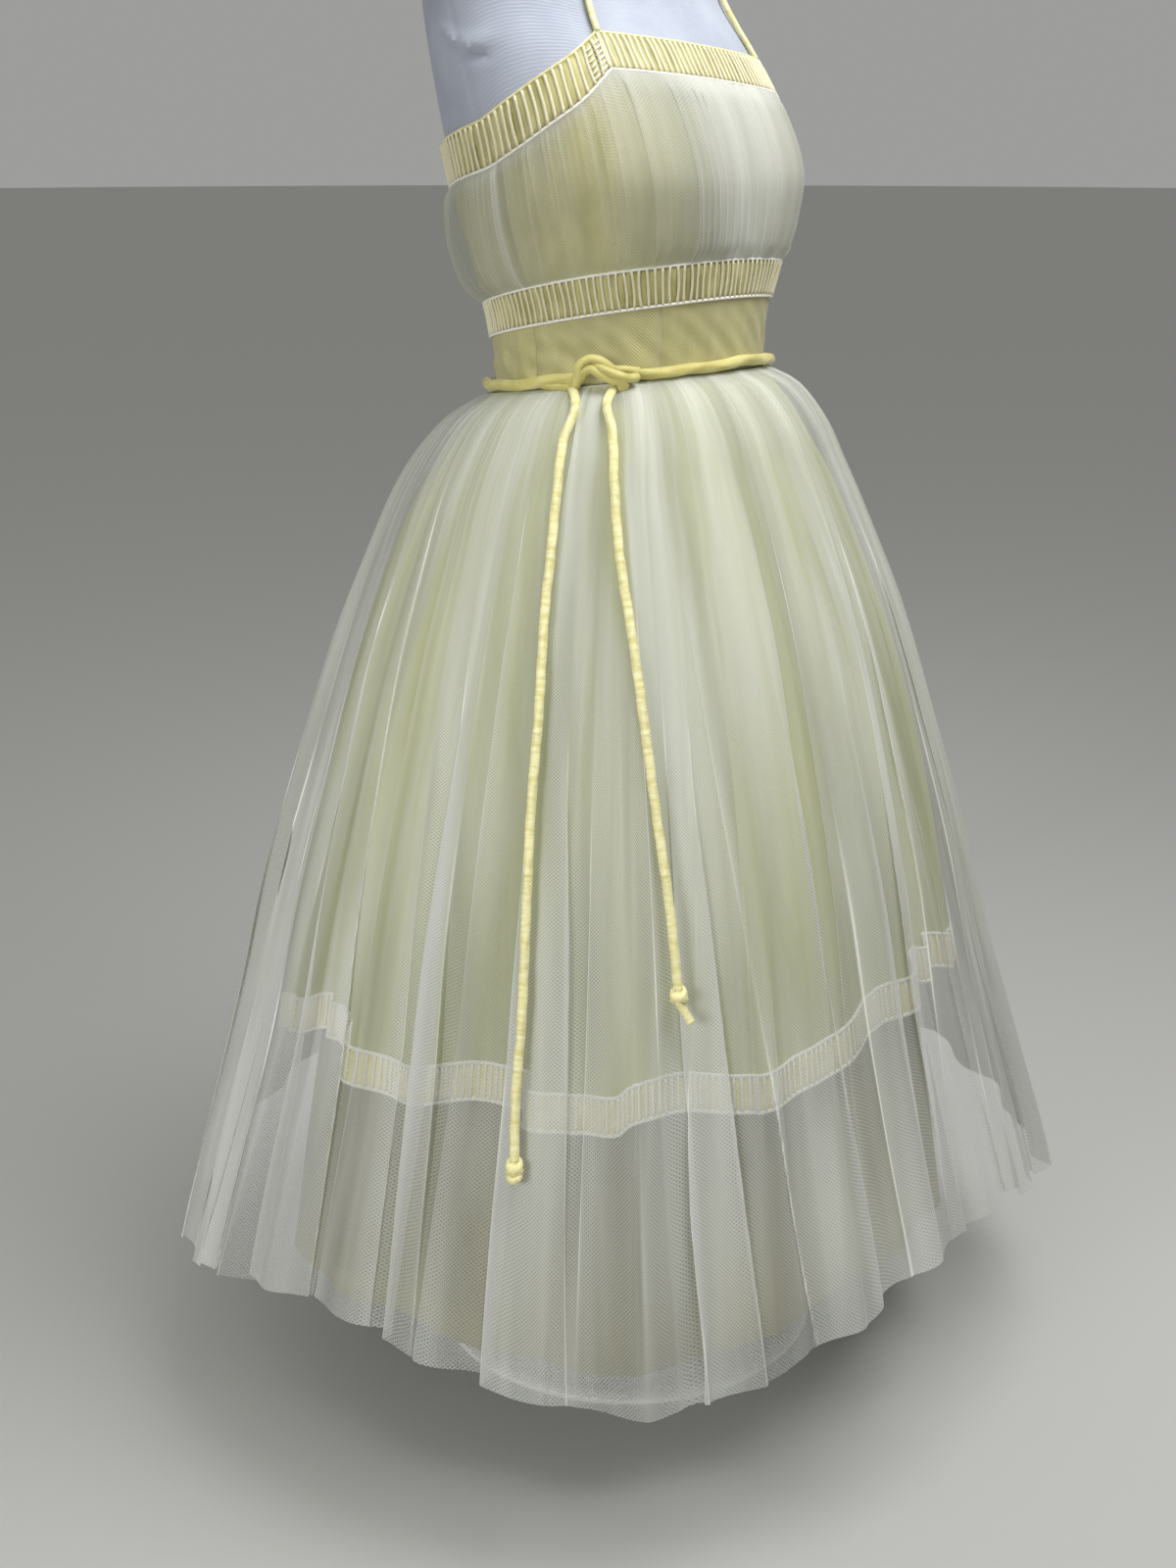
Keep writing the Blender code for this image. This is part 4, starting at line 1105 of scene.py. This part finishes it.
cords("band_edge_cords", [
    edge_path(-HALF, HALF, lambda a: neckline(a)[1], BAND_OUT + 0.0004),
    edge_path(-HALF, HALF, lambda a: underbust(a)[0], BAND_OUT + 0.0002),
    edge_path(-HALF, HALF, lambda a: underbust(a)[1], BAND_OUT + 0.0002),
], EDGE_CORD, 8, white_cord, pucker=0.12)
cords("neckline_piping", [
    edge_path(-corner, corner, lambda a: neckline(a)[0], BAND_OUT - 0.0006, 0.0004),
    edge_path(corner, 2 * HALF - corner, lambda a: neckline(a)[0], BAND_OUT - 0.0006, 0.0004),
], PIPING, 8, tie_satin)

stitches = []
for before_corner in (2.2, 5.4):
    for share in np.linspace(0.16, 0.84, 6):
        middle = -corner - math.radians(before_corner)
        angle = middle + np.linspace(-1, 1, 5) * math.radians(1.2)
        top, bottom = neckline(angle)
        lifted = BAND_OUT + 0.0022 - 0.0010 * np.linspace(-1, 1, 5) ** 2
        stitches.append(form_place(angle, top + (bottom - top) * share, lifted))
cords("corner_stitches", stitches, STITCH, 6, white_cord)

# %% [markdown]
# Two thin rouleaux are the straps. They start in the piping at the corners and lie on the form,
# over the shoulders, down to the back of the top band. Their path is found by looking from outside
# towards a point in the chest, and stopping at the form's surface.

# %% The straps
STRAP_RADIUS = 0.0023
STRAP_ROUTE = (
    (0.0, 0.0890), (0.2, 0.0740), (0.45, 0.0640), (0.60, 0.0600), (0.80, 0.0520), (1.0, 0.0440),
)
STRAP_BACK = math.radians(162.0)
STRAP_CLEAR = 0.0006
STRAP_TURN = (0.055, 0.250)
behind, above = STRAP_TURN
for side_name, side in (("right", -1), ("left", 1)):
    ends = [form_place(side * a, neckline(side * a)[0] - 0.0010) for a in (STRAP_CORNER, STRAP_BACK)]
    first, last = [math.atan2(p[2] - WAIST - above, p[1] - behind) for p in ends]
    first %= 2 * math.pi
    points = []
    for share in np.linspace(0, 1, 60):
        turn = first + (last - first) * share
        centre = Vector((side * float(smooth_at(STRAP_ROUTE, share)[0]), behind, WAIST + above))
        direction = Vector((0.0, math.cos(turn), math.sin(turn)))
        hit, normal, _, _ = skin.ray_cast(centre + direction, -direction)
        points.append(np.array(hit + normal * (STRAP_RADIUS + STRAP_CLEAR)))
    points = np.array(points)
    for _ in range(6):
        points[1:-1] = (points[:-2] + 2 * points[1:-1] + points[2:]) / 4
    cords(f"strap_{side_name}", [route(points, 300)], STRAP_RADIUS, 12, tie_satin,
          [f"strap_{side_name}"], crease=0.08)

# %% [markdown]
# The midriff is net laid flat over satin in five fitted panels. Its seams are pulled in a little.
# Slack in the net makes slanting wrinkles at the front and level ones at the sides, over the belt.

# %% The midriff
MIDRIFF_PANELS = (
    ("midriff_front", -PRINCESS, PRINCESS),
    ("midriff_side_left", PRINCESS, SIDE_SEAM),
    ("midriff_side_right", -SIDE_SEAM, -PRINCESS),
    ("midriff_back_left", SIDE_SEAM, HALF),
    ("midriff_back_right", HALF, 2 * HALF - SIDE_SEAM),
)
SATIN_BELOW, NET_ABOVE = 0.0004, 0.0003
SEAM_PULL, SEAM_SPREAD = 0.0007, 0.0016
SLACK = 0.0009
midriff_net = net_finish("net of the midriff", "B9B48A", "D9D6BA", (0.16, 0.44), 0.22, (0.02, 0.0))
for name, start, end in MIDRIFF_PANELS:
    def midriff_place(u, v, start=start, end=end, out=MIDRIFF_OUT - SATIN_BELOW):
        angle = start + (end - start) * u
        top = edge_height(UNDERBUST_BOTTOM, angle)
        bottom = edge_height(WAIST_LINE, angle) - SKIRT_TOP + 2 * GAP
        height = top + (bottom - top) * v
        from_seam = np.minimum(u, 1 - u) * (end - start) * 0.11
        seam = -SEAM_PULL * np.exp(-((from_seam / SEAM_SPREAD) ** 2))
        slack = SLACK * 4 * v * (1 - v)
        slant = np.sin(230 * height + 26 * angle) * np.sin(5 * angle + 70 * height)
        at_side = ramp(np.abs(turned(angle)), 0.9, 1.6)
        level = np.sin(330 * height + 3 * np.sin(4 * angle)) * at_side
        return form_place(angle, height, out + seam + (slant + level) * slack)

    def midriff_net_place(u, v, under=midriff_place):
        return under(u, v, out=MIDRIFF_OUT + NET_ABOVE)

    columns = int(math.degrees(end - start))
    sheet(name, columns, 24, midriff_place, midriff_satin, [name],
          wall=0.0010)
    sheet(f"{name}_net", columns, 24, midriff_net_place, midriff_net, ())

# %% [markdown]
# The skirt hangs in three layers from the waist seam. Innermost is a cream underskirt, then a
# shorter layer of yellow net that ends in the ladder trim, and outside the full grey-white tulle,
# which veils both. Each half is one sheet that meets the other at the side seams.

# %% How a layer hangs
SIDES = (("front", -HALF / 2), ("back", HALF / 2))


def hanging(share, start):
    """Folds of hanging cloth: small at the waist seam and full further down."""
    swing = 1 - 0.5 * np.sin(math.pi * (1.4 * share + 7 * start)) ** 2
    return (0.12 + 0.88 * ramp(share, 0.5 * start, 0.5 * start + 0.35)) * swing


def at_the_waist(share, start):
    """Gathers at the waist seam, that die out down the skirt."""
    return np.exp(-share / (0.06 + 0.22 * start)) * ramp(share, -0.02, 0.04)


def side_folds(rows, i, start):
    """The folds of one half of a layer. A row: seed, degrees kept free at the side seams, count,
    widths, bumps, tucks, rises and drift."""
    low = math.degrees(start)
    return np.concatenate([
        folds_between(seed + i, low + free, low + 180 - free, *shape) for seed, free, *shape in rows
    ])


def skirt_half(layer, turns, hem, start, folds, gathers):
    """The function that places a half of a skirt layer between two side seams."""
    def place(u, v):
        angle = start + math.pi * u
        drop = SKIRT_TOP + (hem(angle) - SKIRT_TOP) * v**1.25
        out, shift, _, _ = folded(folds, angle, v, hanging)
        fine, fine_shift, _, _ = folded(gathers, angle, v, at_the_waist)
        grown = 0.12 + 0.88 * ramp(v, 0.0, 0.35)
        return skirt_place(layer, turns, angle + shift * grown + fine_shift, drop, out * grown + fine)
    return place


# %% [markdown]
# The underskirt is the narrowest layer, with fewer and shallower folds. Of the three layers it
# alone is opaque and has a turned hem, so it gets a wall.

# %% The underskirt
UNDER_FOLDS = ((40, 4, 20, (2.0, 4.0), (0.001, 0.004), (0.0, 0.8), (0.0, 0.0), 2.0),)
UNDER_GATHERS = ((43, 2, 60, (0.6, 1.1), (0.0003, 0.001)),)
for i, (side_name, start) in enumerate(SIDES):
    folds, gathers = side_folds(UNDER_FOLDS, i, start), side_folds(UNDER_GATHERS, i, start)
    place = skirt_half(UNDERSKIRT, under_turns, corner_hem(*UNDERSKIRT_HEM), start, folds, gathers)
    sheet(f"underskirt_{side_name}", 260, 36, place, cream,
          [f"underskirt_{side_name}"], wall=CLOTH_WALL)

# %% [markdown]
# The yellow net is caught up unevenly, so that its hem steps where a fold laps over: each lap has
# an angle, a width, a tuck, a rise and the step of the hem across it, to scale from the photo for
# those that show.

# %% The yellow net and its trim
TRIM_HEIGHT = 0.028
TRIM_BARS = 190
TRIM_PUFF = 0.0008
NET_LAPS = (
    (-168.0, 2.0, 2.6, 0.004, 0.012), (-128.0, 2.2, 2.4, 0.004, 0.008),
    (-108.0, 1.8, 2.8, 0.004, 0.012), (-98.0, 2.2, 3.0, 0.005, 0.016),
    (-64.0, 2.2, 3.0, 0.005, 0.012), (-50.0, 3.5, 0.8, -0.003, -0.008),
    (-30.0, 1.5, 1.6, 0.003, 0.0), (4.0, 2.2, 3.0, -0.005, -0.022),
    (13.5, 1.8, 2.8, -0.004, -0.018), (31.0, 1.8, 2.0, 0.003, 0.006),
    (62.0, 2.0, 2.8, 0.005, 0.012), (88.0, 1.4, 1.6, -0.003, -0.004),
    (122.0, 2.2, 3.0, 0.004, 0.014), (150.0, 2.0, 2.6, -0.004, -0.014),
)
LAP_START = 0.6
laps = np.array([
    (math.radians(angle), math.radians(width), 0.0, tuck, rise, 0.0, LAP_START)
    for angle, width, tuck, rise, _ in NET_LAPS
])
OVER_FOLDS = ((50, 5, 16, (2.0, 4.2), (0.002, 0.005), (0.0, 0.8), (0.0, 0.0), 0.0),)
OVER_GATHERS = ((53, 2, 60, (0.6, 1.1), (0.0004, 0.0012)),)


def caught_up_hem(angle):
    """The drop of the yellow net's hem: from its table, and stepped at each lap."""
    drop = smooth_at(OVERLAYER_HEM, np.degrees(turned(angle)))[0]
    for degrees, width, _, _, step in NET_LAPS:
        x = turned(angle - math.radians(degrees)) / math.radians(width)
        drop = drop + step / 2 * np.tanh(2.0 * x) * np.exp(-((x / 3.5) ** 2))
    return drop


LAP_COVER = 0.13


def net_values(folds, gathers, start, far):
    """What a layer of net covers more at each angle, and the bright turns of its folds and gathers."""
    def values(u, v):
        angle = start + math.pi * u
        _, _, turns_back, lapped = folded(folds, angle, v, hanging)
        drawn_in = folded(gathers, angle, v, at_the_waist)[2]
        return {"full": far(angle) + LAP_COVER * lapped,
                "edge": turns_back * ramp(v, 0.05, 0.3) + GATHER_EDGE * drawn_in}
    return values


BAR_OUT, BAR_RADIUS, BAR_STEPS = 0.0022, 0.0011, 6
EDGE_OUT, EDGE_RADIUS, EDGE_STEPS = 0.0016, 0.0016, 760
trim_bars, trim_edges = [], []
for i, (side_name, start) in enumerate(SIDES):
    folds = np.concatenate([side_folds(OVER_FOLDS, i, start), laps])
    gathers = side_folds(OVER_GATHERS, i, start)
    place = skirt_half(OVERLAYER, over_turns, caught_up_hem, start, folds, gathers)
    sheet(f"overlayer_{side_name}", 620, 44, place, yellow_net,
          [f"overlayer_{side_name}"],
          values=net_values(folds, gathers, start, np.zeros_like))

    def trim_place(u, v, start=start, folds=folds, out=0.0012):
        angle = start + math.pi * u
        hem = caught_up_hem(angle)
        drop = hem - TRIM_HEIGHT * (1 - v)
        share = ((drop - SKIRT_TOP) / (hem - SKIRT_TOP)) ** 0.8
        far, shift, _, _ = folded(folds, angle, share, hanging)
        crossing = np.abs(np.sin(u * TRIM_BARS * math.pi))
        puff = TRIM_PUFF * crossing**0.5 * np.minimum(1.0, 7 * v * (1 - v))
        return skirt_place(OVERLAYER, over_turns, angle + shift, drop, far + out + puff)

    sheet(f"skirt_trim_{side_name}", TRIM_BARS * 6, 6, trim_place, trim_satin,
          [f"skirt_trim_{side_name}"])
    down_bar, round_hem = np.linspace(0.03, 0.97, BAR_STEPS), np.linspace(0, 1, EDGE_STEPS)
    for n in range(TRIM_BARS + 1):
        trim_bars.append(trim_place(np.full(BAR_STEPS, n / TRIM_BARS), down_bar, out=BAR_OUT))
    for share in (0.0, 1.0):
        trim_edges.append(trim_place(round_hem, np.full(EDGE_STEPS, share), out=EDGE_OUT))
cords("skirt_trim_bars", trim_bars, BAR_RADIUS, 6, white_cord)
cords("skirt_trim_edges", trim_edges, EDGE_RADIUS, 6, white_cord)

# %% [markdown]
# The tulle is the fullest layer. Away from the knot it is gathered a little more, so it covers more
# there. Seen through the sheer front, that side makes a grey ground.

# %% The tulle
SHEER_MIDDLE = math.radians(-52.0)
FAR_COVER = 0.18
SHEER_FOLDS = (
    (60, 4, 9, (1.4, 3.2), (0.0, 0.003), (1.3, 2.8), (0.002, 0.005), 6.0),
    (70, 3, 24, (0.6, 1.3), (0.0, 0.002), (1.3, 2.6), (0.001, 0.003), 8.0),
    (76, 16, 8, (0.4, 0.8), (0.0, 0.002), (1.3, 2.2), (0.001, 0.002), 16.0),
    (80, 3, 16, (1.6, 3.2), (0.002, 0.005), (0.3, 0.9), (0.0, 0.002), 3.0),
)
SHEER_GATHERS = ((73, 1, 80, (0.45, 0.9), (0.0004, 0.0018), (0.4, 1.5), (0.0, 0.0), 2.0),)


def tulle_fullness(angle):
    """How much more the tulle covers on the side away from the knot."""
    off = np.degrees(np.abs(turned(angle - SHEER_MIDDLE)))
    return FAR_COVER * ramp(off, 70, 120)


for i, (side_name, start) in enumerate(SIDES):
    folds, gathers = side_folds(SHEER_FOLDS, i, start), side_folds(SHEER_GATHERS, i, start)
    place = skirt_half(TULLE, tulle_turns, corner_hem(*TULLE_HEM), start, folds, gathers)
    sheet(f"tulle_skirt_{side_name}", 1000, 64, place, tulle, [f"tulle_skirt_{side_name}"],
          values=net_values(folds, gathers, start, tulle_fullness))

# %% [markdown]
# A photographer's plain setting: a pale floor that runs on behind, a large soft lamp overhead, a
# weak one low at the wearer's right, and pale light all round.

# %% Floor and light
bm = bmesh.new()
bmesh.ops.create_circle(bm, cap_ends=True, segments=128, radius=30.0)
floor = add_object("floor", finished(bm, "floor"))
floor.data.materials.append(finish_named(
    "pale floor", Base_Color=linear("CACAC7"), Roughness=0.9, Specular_IOR_Level=0.1)[0])
floor.location.z = -0.0005
floor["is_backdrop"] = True


def lamp(name, place, target, size, watts, spread=180):
    """A square soft lamp at a place, turned to a point, whose light spreads that many degrees."""
    light = bpy.data.lights.new(name, "AREA")
    light.size, light.energy, light.spread = size, watts, math.radians(spread)
    made = add_object(name, light)
    made.location = place
    aim(made, Vector(target) - Vector(place))


lamp("overhead", (0.05, -0.64, 2.15), (0.0, 0.0, 0.85), 1.0, 27)
lamp("side fill", (-2.35, -0.15, 1.1), (0.0, 0.0, 0.45), 0.8, 2.1, 46)
world = bpy.data.worlds.new("pale studio")
bpy.context.scene.world = world
world.use_nodes = True
background = world.node_tree.nodes["Background"]
background.inputs["Color"].default_value = (1.0, 1.0, 0.98, 1.0)
background.inputs["Strength"].default_value = 0.34
bpy.context.scene.view_settings.view_transform = "Standard"
bpy.context.scene.cycles.transparent_max_bounces = 24
print("lamps", len(bpy.data.lights))

# %% [markdown]
# The last cell prints the corners of the box of the dressed part.

# %% Finish
dressed_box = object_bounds()
for label, corner_point in zip(("lowest", "highest"), dressed_box):
    print("dressed part,", label, "corner", [round(v, 3) for v in corner_point])
